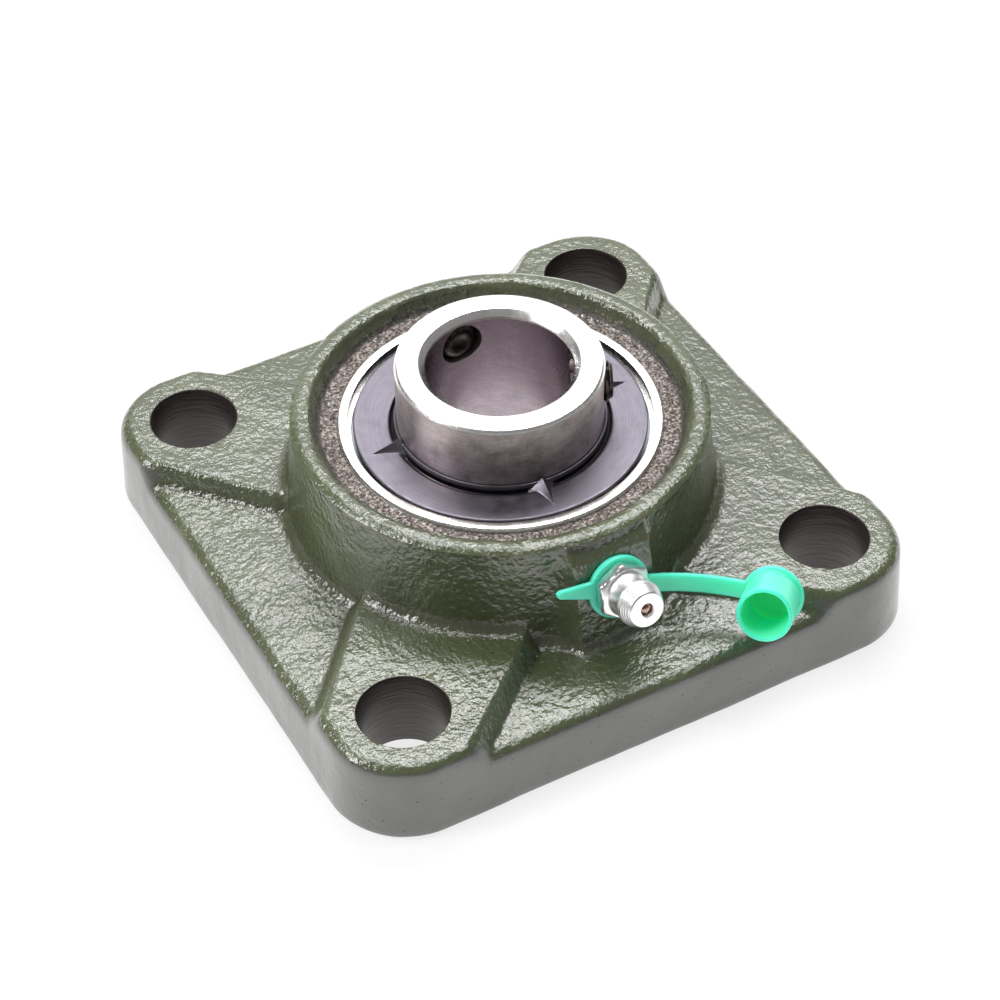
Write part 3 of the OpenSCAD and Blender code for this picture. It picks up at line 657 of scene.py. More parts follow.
def slot_cutter(side):
    """A slot that lets the bearing in sideways from the back: an arc of the seat, closed by a straight
    line near the bore, and carried up from the recess."""
    half = np.arcsin(SLOT_HALF / SLOT_R)
    arc = np.linspace(-half, half, 15)
    far = np.column_stack([SLOT_R * np.cos(arc), SLOT_R * np.sin(arc)])
    ring = side * np.vstack([far, [[12.0, SLOT_HALF], [12.0, -SLOT_HALF]]])
    return loft(np.stack([np.column_stack([ring, np.full(len(ring), z)]) for z in (6.0, CENTRE_Z)]))


def apply_modifiers(piece):
    """Puts the result of a piece's modifiers into its mesh."""
    shown = piece.evaluated_get(bpy.context.evaluated_depsgraph_get())
    mesh = bpy.data.meshes.new_from_object(shown)
    piece.modifiers.clear()
    piece.data = mesh


def carve(piece, cutters):
    """Takes the cutters' shells away from a piece."""
    tool = mesh_piece("cutters", cutters, 180.0)
    cut = piece.modifiers.new("cut", "BOOLEAN")
    cut.operation, cut.object, cut.solver = "DIFFERENCE", tool, "EXACT"
    apply_modifiers(piece)
    bpy.data.objects.remove(tool)


cutters = [shell(drill() + [x, y, 0], wrap_rows=False)
           for x, y in ((-BOLT, -BOLT), (BOLT, -BOLT), (BOLT, BOLT), (-BOLT, BOLT))]
nipple_hole = turned([[0, -8.5], [1.3, -8.5], [1.3, -5.5], [3.0, -5.4], [3.0, -0.35], [3.3, 0], [5.25, 0],
                      [5.25, 5], [0, 5]], 96)
cutters += [shell(on_nipple(nipple_hole), wrap_rows=False), slot_cutter(1), slot_cutter(-1)]
carve(housing, cutters)
shade(housing, 32.0)
print("housing after drilling:", len(housing.data.polygons), "faces")

# %% [markdown]
# ## Where each finish lies on the casting
# One casting shows six finishes, and their borders are where a tool or a mould wall ended. Each face
# knows its centre and its normal, so whole arrays of comparisons give every face the number of its
# material. No picture has to be unwrapped, and the borders stay as sharp as the real ones.


# %% Give the casting its finishes
def face_data(piece):
    """Centres, in millimetres, and normals of all faces."""
    mesh = piece.data
    centre, normal = np.empty(len(mesh.polygons) * 3), np.empty(len(mesh.polygons) * 3)
    mesh.polygons.foreach_get("center", centre)
    mesh.polygons.foreach_get("normal", normal)
    return centre.reshape(-1, 3) / MM, normal.reshape(-1, 3)


def paint(piece, choice, *materials):
    """Gives each face the material whose number it has, or every face the same one."""
    piece.data.materials.clear()
    for mat in materials:
        piece.data.materials.append(mat)
    numbers = np.broadcast_to(choice, len(piece.data.polygons)).astype(np.int32)
    piece.data.polygons.foreach_set("material_index", numbers)


centre, normal = face_data(housing)
x, y, z = np.abs(centre[:, 0]), np.abs(centre[:, 1]), centre[:, 2]
r = np.hypot(x, y)
out = (centre - NIPPLE_SEAT) @ NIPPLE_OUT
off = np.linalg.norm(centre - NIPPLE_SEAT - out[:, None] * NIPPLE_OUT, axis=1)
hole = np.hypot(x - BOLT, y - BOLT) < BOLT_R + HOLE_FLARE / 2
faced = z < 0.02
machined = ((r < 24.6) & (z < LEDGE_Z + 0.25)) | ((off < 3.2) & (out < -0.02) & (out > -6))
# The step under the rim: torn skin whose dark tone is painted shade of the rim.
broken_skin_rim_shade = (r < 25.1) & (z > LEDGE_Z + 0.1)
upright = np.abs(normal[:, 2]) < 0.6
# Upright side faces get the greyer enamel, a painted reflection of the floor.
border = (r > 34) & upright & (z < PLATE_Z + 3) & (np.maximum(x, y) > 40.5)
border |= upright & (np.hypot(x - CORNER_C, y - CORNER_C) > 9) & (np.minimum(x, y) > CORNER_C - 1)
finish = np.select([hole, faced, machined, broken_skin_rim_shade, border], [2, 5, 1, 4, 3], 0)
paint(housing, finish, ENAMEL, TURNED_IRON, DRILLED_IRON, SIDE_ENAMEL, BROKEN_SKIN_WITH_RIM_SHADE, FACED_IRON)
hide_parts("housing")
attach(housing, "flange_housing")
print("faces with each finish:", np.bincount(finish).tolist())

# %% [markdown]
# ## Steel for the rings and what rides on them
# Bearing rings are ground, so their steel is bright with very fine turning lines that run round the
# axis. Noise whose place is the radius and the height, and hardly the angle, gives such lines. They
# are drawn 0.12 mm wide, coarser than real grinding marks, so that they show. Handling leaves faint
# brown stains on the wide inner ring's side. Pressed and drawn parts are the same steel with more
# roughness and a darker tone.


# %% Materials of the ground and pressed steel
def steel(name, light, dark, rough, stain=None, streak=0.0):
    """Steel with turning lines in its tone and relief, cloudy roughness from 0.8 to 1.35 times the
    given one, and if wanted stains, and highlights drawn out across the lines."""
    mat, shader, place = new_material(name)
    spot = ring_place(mat, place, 0.0006)
    lines = add(mat, "TexNoise", {"Vector": spot, "Scale": per_mm(0.12), "Detail": 2.0})
    tone = add(mat, "ValToRGB", {0: lines}, stops=((0.3, linear(dark)), (0.7, linear(light))))
    if stain:
        patch = add(mat, "TexNoise", {"Vector": place, "Scale": per_mm(2.6), "Detail": 6.0,
                                      "Roughness": 0.7})
        amount = add(mat, "ValToRGB", {0: patch}, stops=((0.45, grey(0)), (0.75, grey(1))))
        tone = add(mat, "Mix", {0: amount, 6: tone, 7: linear(stain)}, data_type="RGBA").outputs[2]
    if streak:
        fill(mat, shader, {"Tangent": add(mat, "Tangent", {}, direction_type="RADIAL", axis="Z")})
    blotch = add(mat, "TexNoise", {"Vector": place, "Scale": per_mm(1.8), "Detail": 4.0, "Roughness": 0.65})
    cloudy = add(mat, "ValToRGB", {0: blotch}, stops=((0.3, grey(rough * 0.8)), (0.75, grey(rough * 1.35))))
    relief = add(mat, "Bump", {"Height": lines, "Distance": 0.004 * MM, "Strength": 1.0})
    fill(mat, shader, {"Base Color": tone, "Metallic": 1.0, "Roughness": cloudy, "Normal": relief,
                       "Anisotropic": streak, "Anisotropic Rotation": 0.25})
    return mat


# Ground faces: nearly white, a soft mirror. Honed side: warmer, with oil stains. Bore: long streaks.
RING_FACE = steel("ground_bearing_steel", "#f4f3f1", "#e6e4e2", 0.24)
RING_SIDE = steel("honed_bearing_steel", "#d8cecd", "#bfb4b3", 0.38, stain="#958a86")
BORE_STEEL = steel("bored_bearing_steel", "#a0969b", "#90868b", 0.24, streak=0.5)
# Zinc-flashed sheet: a dull violet grey. In the trough it is darker, as painted shade of the fold.
PRESSED_STEEL = steel("pressed_zinc_flashed_steel", "#716d76", "#67636c", 0.42)
TROUGH_SHADE_STEEL = steel("trough_steel_painted_shade", "#4a4648", "#383537", 0.35)
# Balls are lapped to a mirror. Cage strip is phosphated, a warm satin grey, and rivets are bare.
BALL_STEEL = steel("polished_ball_steel", "#e4e4e6", "#dadadc", 0.08)
CAGE_STEEL = steel("pressed_cage_strip", "#b0a690", "#8c8371", 0.38)
RIVET_STEEL = steel("upset_rivet_steel", "#a9a49a", "#8b867c", 0.34)
# Seal carriers are cold-rolled sheet, and the spring is drawn wire: both a plain satin grey.
CARRIER_STEEL = steel("pressed_carrier_sheet", "#9a9ca0", "#7f8185", 0.36)
WIRE_STEEL = steel("drawn_spring_wire", "#a6a6aa", "#8a8a8e", 0.3)
# The check ball is bronze: small, tarnished and a little pink.
BALL_BRONZE = steel("tarnished_check_ball", "#a5887c", "#8a6e64", 0.22)
# Set screws are black oxide over steel: a dark brownish metal with a worn sheen.
BLACK_OXIDE = plain_finish("black_oxide_screw_steel", 0.6, 4.0, 0.5, ((0.35, "#2a2725"), (0.7, "#514c48")),
                           0.02, Metallic=0.9, Roughness=0.36)
# Seal lips are moulded nitrile rubber: nearly black and matt, with no metal in it.
RUBBER = plain_finish("moulded_nitrile_rubber", 0.5, 3.0, 0.5, ((0.3, "#1d1c1e"), (0.7, "#2c2b2d")), 0.02,
                      Roughness=0.62)
print("materials so far:", len(bpy.data.materials))

# %% [markdown]
# ## The outer ring
# Its outside is a band of a sphere, its front face a narrow flat band that shows bright beside the
# slinger. The profile follows the sphere by angle, then steps in through the seal's seat to the
# raceway, which is an arc of a circle a little larger than the balls.

# %% Outer ring
# Radius of the raceways' arc, and where the outer and inner raceway are deepest.
RACE_R, OUTER_RACE_R, INNER_RACE_R = 4.088, 20.734, 12.766
# Radii of the ring's open mouth, of the seal's seat and of the shoulder beside the race.
MOUTH_R, SEAL_SEAT_R, SHOULDER_R = 20.75, 19.8, 19.2
GREASE_HOLE_UP = 4.1


def outer_ring_profile():
    """Closed (radius, height) loop: the sphere's arc, then the face, mouth, seal seat and shoulder, the
    race, and the same steps mirrored about the bearing's centre."""
    sphere = np.arcsin((OUTER_HALF - 0.04) / OUTER_R)
    a = np.linspace(-sphere, sphere, 25)
    outside = np.column_stack([OUTER_R * np.cos(a), OUTER_R * np.sin(a)])
    step = np.array([[21.9, OUTER_HALF - 0.01], [21.86, OUTER_HALF], [MOUTH_R + 0.09, OUTER_HALF],
                     [MOUTH_R + 0.02, OUTER_HALF - 0.03], [MOUTH_R, OUTER_HALF - 0.1], [MOUTH_R, 6.9],
                     [20.3, 6.9], [20.3, 5.6], [SEAL_SEAT_R, 5.6], [SEAL_SEAT_R, 5.35], [SHOULDER_R, 5.3]])
    middle = OUTER_RACE_R - RACE_R
    half = np.arccos((SHOULDER_R - middle) / RACE_R)
    b = np.linspace(half, -half, 21)
    race = np.column_stack([middle + RACE_R * np.cos(b), RACE_R * np.sin(b)])
    return np.vstack([outside, step, race, step[::-1] * [1, -1]]) + [0, CENTRE_Z]


outer_ring = mesh_piece("outer_ring_ground", [shell(turned(outer_ring_profile(), 240))], 30.0)
grease_drill = turned([[0, 17.5], [0.8, 17.5], [0.8, 26], [0, 26]], 24)
carve(outer_ring, [shell(on_spoke(grease_drill, angle, CENTRE_Z + GREASE_HOLE_UP), wrap_rows=False)
                   for angle in (np.pi / 2, -np.pi / 2)])
shade(outer_ring, 30.0)
paint(outer_ring, 0, RING_FACE)
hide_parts("outer_ring")
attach(outer_ring, "swivel_ring")
print("outer ring:", len(outer_ring.data.polygons), "faces")

# %% [markdown]
# ## The inner ring
# It is longer than the outer ring and stands out at the front, where two threaded holes take the
# set screws. The face is ground bright, the side is honed and brownish, and the bore is bored fine.
# The holes are cut with a countersink, as a tapped hole has.

# %% Inner ring
SCREW_ANGLES = np.radians([-26.5, 93.5])
SCREW_Z = NOSE_Z - 4.2
# Inner and outer radius of the flat ends, and the height of the chamfer at the bore.
END_INNER_R, END_OUTER_R, BORE_CHAMFER = 10.9, 13.7, 0.9


def inner_ring_profile():
    """Closed loop round the ring's section: the back end with its chamfers, the race, the outside up
    to the front end, and down the bore."""
    middle = INNER_RACE_R + RACE_R
    half = np.arccos((middle - INNER_R) / RACE_R)
    b = np.linspace(np.pi + half, np.pi - half, 21)
    race = np.column_stack([middle + RACE_R * np.cos(b), CENTRE_Z + RACE_R * np.sin(b)])
    back = softened([[BORE_R, INNER_BACK + BORE_CHAMFER], [END_INNER_R, INNER_BACK],
                     [END_OUTER_R, INNER_BACK], [INNER_R, INNER_BACK + 0.4]], 0.14)
    front = softened([[INNER_R, NOSE_Z - 0.4], [END_OUTER_R + 0.02, NOSE_Z], [END_INNER_R, NOSE_Z],
                      [BORE_R, NOSE_Z - BORE_CHAMFER]], 0.14)
    side = np.column_stack([np.full(12, INNER_R), np.linspace(race[-1, 1], 32.7, 13)[1:]])
    bore = np.column_stack([np.full(14, BORE_R), np.linspace(32.2, 3.4, 14)])
    return np.vstack([back, race, side, front, bore])


inner_ring = mesh_piece("inner_ring_ground", [shell(turned(inner_ring_profile(), 240))], 28.0)
tap = turned([[0, 8], [3.35, 8], [3.0, 10.25], [3.0, 13.8], [3.4, 14.3], [3.4, 17], [0, 17]], 64)
carve(inner_ring, [shell(on_spoke(tap, angle, SCREW_Z), wrap_rows=False) for angle in SCREW_ANGLES])
shade(inner_ring, 28.0)
centre, normal = face_data(inner_ring)
r, z = np.hypot(centre[:, 0], centre[:, 1]), centre[:, 2]
bored = (r < BORE_R + 0.3) & (np.abs(normal[:, 2]) < 0.4)
honed = ((r > INNER_R - 0.1) & (np.abs(normal[:, 2]) < 0.3)) | ((z > 25.5) & (z < NOSE_Z - 0.6))
paint(inner_ring, np.select([bored, honed], [2, 1], 0), RING_FACE, RING_SIDE, BORE_STEEL)
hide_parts("inner_ring")
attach(inner_ring, "shaft_ring")
print("inner ring:", len(inner_ring.data.polygons), "faces")

# %% [markdown]
# ## The slingers
# A slinger is pressed from sheet: a collar grips the inner ring, a trough runs beside it, and a flat
# apron covers the seal. Four small gussets are pressed up from the trough to the apron. Each is a
# three-sided ridge: along it the height falls to its tip, and across it in a line to each side, so
# height = h (1 - u)^0.8 (1 - |t| / w), with the half width w falling faster than u rises.

# %% Slingers with their gussets
# The apron's height above the bearing's centre, its outer radius and the sheet's thickness.
APRON_Z, APRON_R, SHEET = 8.1, 20.0, 0.5
# The first gusset's angle, its height and half width at the collar, and the radii it runs between.
GUSSET_ANGLE, GUSSET_H, GUSSET_HALF, GUSSET_FROM, GUSSET_TIP = np.radians(83.5), 1.35, 1.5, 14.45, 18.6
# Radii between which the trough is darkened as painted shade.
SHADED_TROUGH_FROM, SHADED_TROUGH_TO = 14.5, 15.1


def slinger_angles():
    """Angles round the ring, close together where the four gussets are."""
    close, wide = np.linspace(-8, 8, 56, endpoint=False), np.linspace(8, 82, 56, endpoint=False)
    quarter = np.concatenate([close, wide])
    return np.radians((np.arange(4)[:, None] * 90 + quarter).ravel()) + GUSSET_ANGLE


def slinger_points():
    """The sheet's section as one closed loop of (radius, height from the bearing's centre) rows, with the
    gussets raised on the rows of its outer side."""
    collar = [[14.15, 8.86], [14.2, 8.92], [14.32, 8.95], [14.44, 8.9], [14.5, 8.8], [14.52, 8.3],
              [14.55, 7.7]]
    trough = [[14.6, 7.62], [14.72, 7.56], [14.85, 7.62], [14.98, 7.82], [15.1, 8.0], [15.25, 8.08]]
    apron = np.column_stack([np.linspace(15.45, 19.75, 24), np.full(24, APRON_Z)])
    rim = [[19.9, 8.07], [19.97, 8.0], [APRON_R, 7.9], [APRON_R, 7.75], [19.93, 7.64],
           [19.8, APRON_Z - SHEET]]
    under = [[17.0, APRON_Z - SHEET], [15.7, 7.58], [15.5, 7.45], [15.2, 7.0], [15.0, 6.85], [14.8, 6.82],
             [14.3, 6.85], [14.15, 6.95], [14.12, 7.1], [14.12, 8.0], [14.12, 8.7]]
    a = slinger_angles()
    outer_rows = len(collar) + len(trough) + len(apron)
    loop = np.vstack([collar, trough, apron, rim, under])
    r, z = loop[:, :1], np.repeat(loop[:, 1:], len(a), axis=1)
    turn = (a + np.pi / 4 - GUSSET_ANGLE) % (np.pi / 2) - np.pi / 4
    t, u = r * np.sin(turn), (r * np.cos(turn) - GUSSET_FROM) / (GUSSET_TIP - GUSSET_FROM)
    near = np.clip(1 - u, 0, 1)
    half = GUSSET_HALF * near ** 1.7 + 0.1
    ridge = APRON_Z - 0.04 + GUSSET_H * near ** 0.8 * (1 - np.abs(t) / half)
    ridge = np.where(r > 14.3, ridge, 0)
    z[:outer_rows] = soft_max(z[:outer_rows], ridge[:outer_rows], 0.08)
    return np.stack([r * np.cos(a), r * np.sin(a), z], axis=-1)


def slinger(name, side, node):
    """The front slinger, or the rear one as its mirror image about the bearing's centre."""
    p = slinger_points() * [1, 1, side] + [0, 0, CENTRE_Z]
    piece = mesh_piece(name, [shell(p)], 32.0)
    centre, _ = face_data(piece)
    r, depth = np.hypot(centre[:, 0], centre[:, 1]), side * (centre[:, 2] - CENTRE_Z)
    # Painted shade: the trough's faces take the darker steel.
    trough_shade = (r > SHADED_TROUGH_FROM) & (r < SHADED_TROUGH_TO) & (depth < APRON_Z - 0.08)
    paint(piece, trough_shade, PRESSED_STEEL, TROUGH_SHADE_STEEL)
    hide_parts(node)
    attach(piece, "shaft_ring")
    return piece


slingers = [slinger("front_slinger_sheet", 1, "front_flinger"),
            slinger("rear_slinger_sheet", -1, "rear_flinger")]
print("slingers:", [len(piece.data.polygons) for piece in slingers], "faces")

# %% [markdown]
# ## Threads, hexagons and screws
# A screw is also a profile turned round its axis, with two changes that depend on the angle: the
# thread's ridge climbs by one pitch in a turn, and a hexagon's radius is its half width over the
# cosine of the angle from the middle of the nearest flat.

# %% Screw surfaces
SCREW_TURN = np.linspace(0, TURN, 96, endpoint=False)[None, :]


def hex_radius(flats):
    """Radius of a hexagon of the given width across flats."""
    return flats / 2 / np.cos((SCREW_TURN + np.pi / 6) % (np.pi / 3) - np.pi / 6)


def thread_radius(z, outer, depth, pitch):
    """Radius of a V thread: a triangle wave of the height less its climb round the axis."""
    phase = (z / pitch - SCREW_TURN / TURN) % 1.0
    return outer - depth * np.abs(2 * phase - 1)


def screw_rows(*rows):
    """Points from (height, radius) rows, each of them one number or an array over rows or angles."""
    made = []
    for z, radius in rows:
        radius = radius + 0 * SCREW_TURN
        points = [radius * np.cos(SCREW_TURN), radius * np.sin(SCREW_TURN), z + 0 * radius]
        made.append(np.stack(points, axis=-1))
    return np.vstack(made)


print("corner of a 7 mm hexagon: %.2f mm" % hex_radius(7.0).max())

# %% [markdown]
# ## The set screws
# Each is a short black grub screw with a cup point, which bites into the shaft, and a hexagon socket.
# Both come from one function and ride their own bodies, so that each can travel in its hole.

# %% Set screws
SCREW_L, SCREW_OUTER, SCREW_ROOT, SCREW_PITCH, SOCKET_FLATS = 5.0, 2.92, 2.4, 1.0, 3.0
# Distance of the screw's cup point from the bore's axis at rest.
SCREW_FROM = 10.1


def set_screw_points():
    """Cup point, thread, flat end and hex socket of a set screw, along its own axis from z = 0. The
    thread runs out at both ends, where a cone is smaller than it."""
    z = column(np.linspace(0.35, SCREW_L - 0.35, 40))
    thread = thread_radius(z, SCREW_OUTER, 0.45, SCREW_PITCH)
    cone = 2.45 + 1.4 * np.minimum(z - 0.35, SCREW_L - 0.35 - z)
    thread = np.minimum(thread, np.maximum(np.minimum(cone, thread), SCREW_ROOT))
    socket, end = hex_radius(SOCKET_FLATS), SCREW_L
    return screw_rows((0.45, 0.0), (0.1, 1.1), (0.0, 1.35), (0.0, 1.7), (0.12, 2.2), (z, thread),
                      (end - 0.12, 2.35), (end - 0.02, 2.2), (end, 2.05), (end, 1.95),
                      (end - 0.05, np.maximum(socket, 1.86)), (end - 0.2, socket), (end - 1.0, socket),
                      (end - 2.2, socket), (end - 2.2, socket * 0.6), (end - 2.5, 0.0))


for number, angle in enumerate(SCREW_ANGLES, 1):
    upright = set_screw_points() + [0, 0, SCREW_FROM]
    screw_shell = shell(on_spoke(upright, angle, SCREW_Z), wrap_rows=False)
    piece = mesh_piece(f"set_screw_{number}_threaded", [screw_shell], 30.0)
    paint(piece, 0, BLACK_OXIDE)
    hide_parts(f"set_screw_{number}")
    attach(piece, f"screw_{number}")
    print(piece.name, len(piece.data.polygons), "faces")

# %% [markdown]
# ## The grease nipple
# It is turned from hexagon bar and zinc plated: a thread, a hexagon with its corners chamfered, a
# neck, and a head that a coupler snaps on. One grid covers it from the thread's end to the ball's
# seat inside the head.

# %% Nipple body
# The hexagon's width, its two faces' heights above the seat, and the radius of their flat part.
HEX_FLATS, HEX_FROM, HEX_TO, HEX_FACE_R = 7.0, 1.1, 2.8, 3.42
# The head's end, the radius of the ball's hole, and the width of the tool's waves.
HEAD_END, BALL_HOLE_R, TOOL_PITCH = 8.1, 1.17, 0.38


def nipple_points():
    """(height, radius) rows from the thread's end outwards and into the head's hole. The hexagon's
    corners are cut by a cone at both ends, and the head narrows and has the tool's fine waves."""
    z = column(np.linspace(-4.9, 0.9, 44))
    cone = 2.45 + 1.2 * np.maximum(np.minimum(z + 5.0, 1.05 - z), 0)
    thread = np.minimum(thread_radius(z, 2.95, 0.45, SCREW_PITCH), cone)
    hexagon = hex_radius(HEX_FLATS)
    hex_rows = [(h, np.minimum(hexagon, HEX_FACE_R + 1.75 * np.minimum(h - HEX_FROM, HEX_TO - h)))
                for h in (1.22, 1.36, 1.8, 2.4, 2.55, 2.66)]
    neck = [(2.82, 3.3), (2.9, 3.05), (3.1, 2.85), (3.6, 2.68), (4.3, 2.55), (4.9, 2.5), (5.3, 2.5),
            (5.42, 2.6), (5.5, 2.8), (5.6, 3.04), (5.7, 3.12)]
    w = np.linspace(5.8, 7.7, 39)
    head = zip(w, 3.13 - 0.36 * np.maximum(w - 6.3, 0) + 0.035 * np.cos(TURN * w / TOOL_PITCH))
    tip = [(7.9, 2.52), (8.03, 2.44), (8.09, 2.34), (HEAD_END, 2.2), (HEAD_END, 1.5), (HEAD_END, 1.05),
           (8.04, 0.93), (7.9, 0.86), (7.72, 0.83), (7.6, BALL_HOLE_R), (5.0, BALL_HOLE_R), (5.0, 0.0)]
    back = [(-4.2, 0.0), (-4.2, 0.8), (-5.0, 0.8), (-5.0, 2.3), (z, thread), (HEX_FROM, 2.6),
            (HEX_FROM, HEX_FACE_R)]
    return on_nipple(screw_rows(*back, *hex_rows, (HEX_TO, HEX_FACE_R), *neck, *head, *tip))


def zinc_plate():
    """Satin zinc plate over turned steel: nearly white, with the tool's lines round the nipple's axis,
    made by a noise turned to that axis and drawn out across it. They are 0.3 mm wide, coarser than
    real ones, so that they show."""
    mat, shader, place = new_material("satin_zinc_plate")
    along = add(mat, "Mapping", {"Vector": place, "Rotation": (np.pi / 2 - NIPPLE_TILT, 0, 0),
                                 "Scale": (0.12, 0.12, 1.0)}, vector_type="TEXTURE")
    lines = add(mat, "TexNoise", {"Vector": along, "Scale": per_mm(0.3), "Detail": 2.0})
    tone = add(mat, "ValToRGB", {0: lines}, stops=((0.3, linear("#d6d3d6")), (0.7, linear("#efedef"))))
    relief = add(mat, "Bump", {"Height": lines, "Distance": 0.01 * MM, "Strength": 1.0})
    fill(mat, shader, {"Base Color": tone, "Metallic": 1.0, "Roughness": 0.32, "Normal": relief})
    return mat


nipple = mesh_piece("nipple_body_turned", [shell(nipple_points(), wrap_rows=False)], 30.0)
paint(nipple, 0, zinc_plate())
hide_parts("nipple_body")
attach(nipple, "flange_housing")
print("nipple:", len(nipple.data.polygons), "faces")

# %% [markdown]
# ## The check ball
# A small bronze ball closes the nipple's hole from inside. A ball turned round an axis would have
# crowded poles, so this one is a cube's six grids pushed out on to the sphere.

# %% Check ball
# The ball's radius, its place on the nipple's axis, and the points along a side of each square.
CHECK_BALL_R, CHECK_BALL_AT, SQUARE = 1.05, 6.95, 12


def ball_points():
    """Six square grids pushed on to a sphere: each point divided by its distance from the centre. The
    tangent spaces the lines evenly."""
    t = np.tan(np.linspace(-np.pi / 4, np.pi / 4, SQUARE))
    a, b = np.meshgrid(t, t, indexing="ij")
    one = np.ones_like(a)
    sides = [(a, b, one), (b, a, -one), (one, a, b), (-one, b, a), (b, one, a), (a, -one, b)]
    p = np.stack([np.stack(side, axis=-1) for side in sides])
    return CHECK_BALL_R * p / np.linalg.norm(p, axis=-1, keepdims=True)


square_faces = grid_faces(SQUARE, SQUARE, False, False)
ball_shells = [(on_nipple(side + [0, 0, CHECK_BALL_AT]), square_faces) for side in ball_points()]
check_ball = mesh_piece("check_ball_bronze", ball_shells, 60.0)
paint(check_ball, 0, BALL_BRONZE)
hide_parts("nipple_ball")
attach(check_ball, "check_ball")
print("check ball:", len(check_ball.data.polygons), "faces")

# %% [markdown]
# ## The grease cap
# Cap, strap, eyelet and pull tail are one injection moulding in soft, slightly clear plastic, caught
# under the nipple's hexagon. The strap and the tail are a rounded section carried along a line, one
# along a straight piece and an arc, the other straight and narrowing.

# %% Sizes and sections of the grease cap
# The eyelet's middle above the nipple's seat, the strap's thickness and width, and how far it hangs.
CAP_MID, STRAP_T, STRAP_W, STRAP_DROP = 0.55, 0.9, 2.5, np.radians(-17.0)
# Where the strap starts inside the eyelet, where it starts to bend, and the bend's radius and angle.
STRAP_FROM, BEND_FROM, BEND_R, BEND = 2.6, 4.2, 18.0, np.radians(42.0)
# How far the strap goes on into the cup's rim, and the cup's rim, radius, length and wall.
STRAP_END, CUP_RIM_R, CUP_R, CUP_L, CUP_WALL = 0.8, 4.1, 3.7, 7.6, 0.6
# The eyelet's radii, the pull tail's direction against the strap's, and the remesh's grain.
EYE_R, EYE_HOLE_R, TAIL_TURN, VOXEL = 4.4, 3.12, np.radians(182.3), 0.11
CUP_PLACE = np.array([BEND_FROM + BEND_R * np.sin(BEND), 0, BEND_R * (1 - np.cos(BEND))])
CUP_ALONG = np.array([np.cos(BEND), 0, np.sin(BEND)])
CUP_UP = np.array([-np.sin(BEND), 0, np.cos(BEND)])


def turn_flat(points, angle):
    """Turns points about the z axis: (x cos a - y sin a, x sin a + y cos a, z)."""
    c, s = np.cos(angle), np.sin(angle)
    return points @ np.array([[c, -s, 0], [s, c, 0], [0, 0, 1]]).T


def flat_section():
    """The strap's outline, softened at its corners: (across, through) pairs."""
    w, t = STRAP_W / 2, STRAP_T / 2
    return softened([[-w, -t], [w, -t], [w, t], [-w, t]], 0.3)


def strap_sections():
    """The strap's outline along a straight start and then an arc of radius R: along = L + R sin(a),
    out = R (1 - cos(a)), and each outline stands square to its way, which has turned by a."""
    a = np.linspace(0, BEND, 28)
    end = CUP_PLACE + STRAP_END * CUP_ALONG
    along = np.concatenate([[STRAP_FROM], BEND_FROM + BEND_R * np.sin(a), end[:1]])
    out = np.concatenate([[0], BEND_R * (1 - np.cos(a)), end[2:]])
    a = column(np.concatenate([[0], a, [BEND]]))
    across, through = flat_section().T
    x, z = column(along) - np.sin(a) * through, column(out) + np.cos(a) * through
    return np.stack(np.broadcast_arrays(x, across, z), axis=-1)


def tail_sections():
    """The pull tail: the same outline, narrower and a little thinner along its reach."""
    reach = np.linspace(3.3, 9.15, 16)
    width = np.interp(reach, [3.3, 8.7, 9.0, 9.15], [2.75, 1.15, 0.95, 0.5])
    across, through = flat_section().T
    x, y = column(reach), column(width / STRAP_W) * across
    return turn_flat(np.stack(np.broadcast_arrays(x, y, 0.85 * through + 0.07), axis=-1), TAIL_TURN)


print("the cup hangs %.1f mm along and %.1f mm out" % (CUP_PLACE[0], CUP_PLACE[2]))

# %% [markdown]
# ## One moulding
# Eyelet, strap, tail and cup are simple closed shapes that run into each other. A fine remesh joins
# them into one skin and also gives the small fillets that a mould leaves between them.


# %% Grease cap
def cap_shells():
    """Closed shells of the cap, first in the nipple's frame with the strap along x: eyelet, strap, tail
    and cup."""
    half = STRAP_T / 2
    eyelet = softened([[EYE_HOLE_R, -half], [EYE_R, -half], [EYE_R, half], [EYE_HOLE_R, half]], 0.2)
    inner = CUP_R - CUP_WALL
    cup = softened([[0, -half], [CUP_RIM_R, -half], [CUP_RIM_R, 0.4], [CUP_R - 0.05, half],
                    [CUP_R, CUP_L - half], [inner, CUP_L - half], [inner - 0.05, 0.5], [0, half]],
                   [0, 0.2, 0.15, 0.15, 0.2, 0.2, 0.5, 0])
    eyelet, cup = turned(eyelet, 72), turned(cup, 84)
    cup = cup @ np.array([CUP_ALONG, [0, 1, 0], CUP_UP]) + CUP_RIM_R * CUP_ALONG + CUP_PLACE
    shells = [shell(eyelet), loft(strap_sections()), loft(tail_sections()), shell(cup)]
    return [(on_nipple(turn_flat(p, STRAP_DROP) + [0, 0, CAP_MID]), faces) for p, faces in shells]


cap = mesh_piece("grease_cap_moulding", cap_shells(), 180.0)
fuse = cap.modifiers.new("fuse", "REMESH")
fuse.mode, fuse.voxel_size, fuse.use_smooth_shade = "VOXEL", VOXEL * MM, True
relax = cap.modifiers.new("relax", "SMOOTH")
relax.factor, relax.iterations = 0.5, 6
apply_modifiers(cap)
shade(cap, 180.0)
print("grease cap:", len(cap.data.polygons), "faces")

# %% [markdown]
# ## Soft green plastic
# The cap is low-density polyethylene, coloured through and a little clear, so light enters it and
# comes out again nearby. Subsurface scattering over a millimetre or two gives the glow that thin
# walls have, and a moderate roughness gives the waxy gloss. Inside the cup light bounces from wall
# to wall and looks deeper, so those faces have a stronger green.


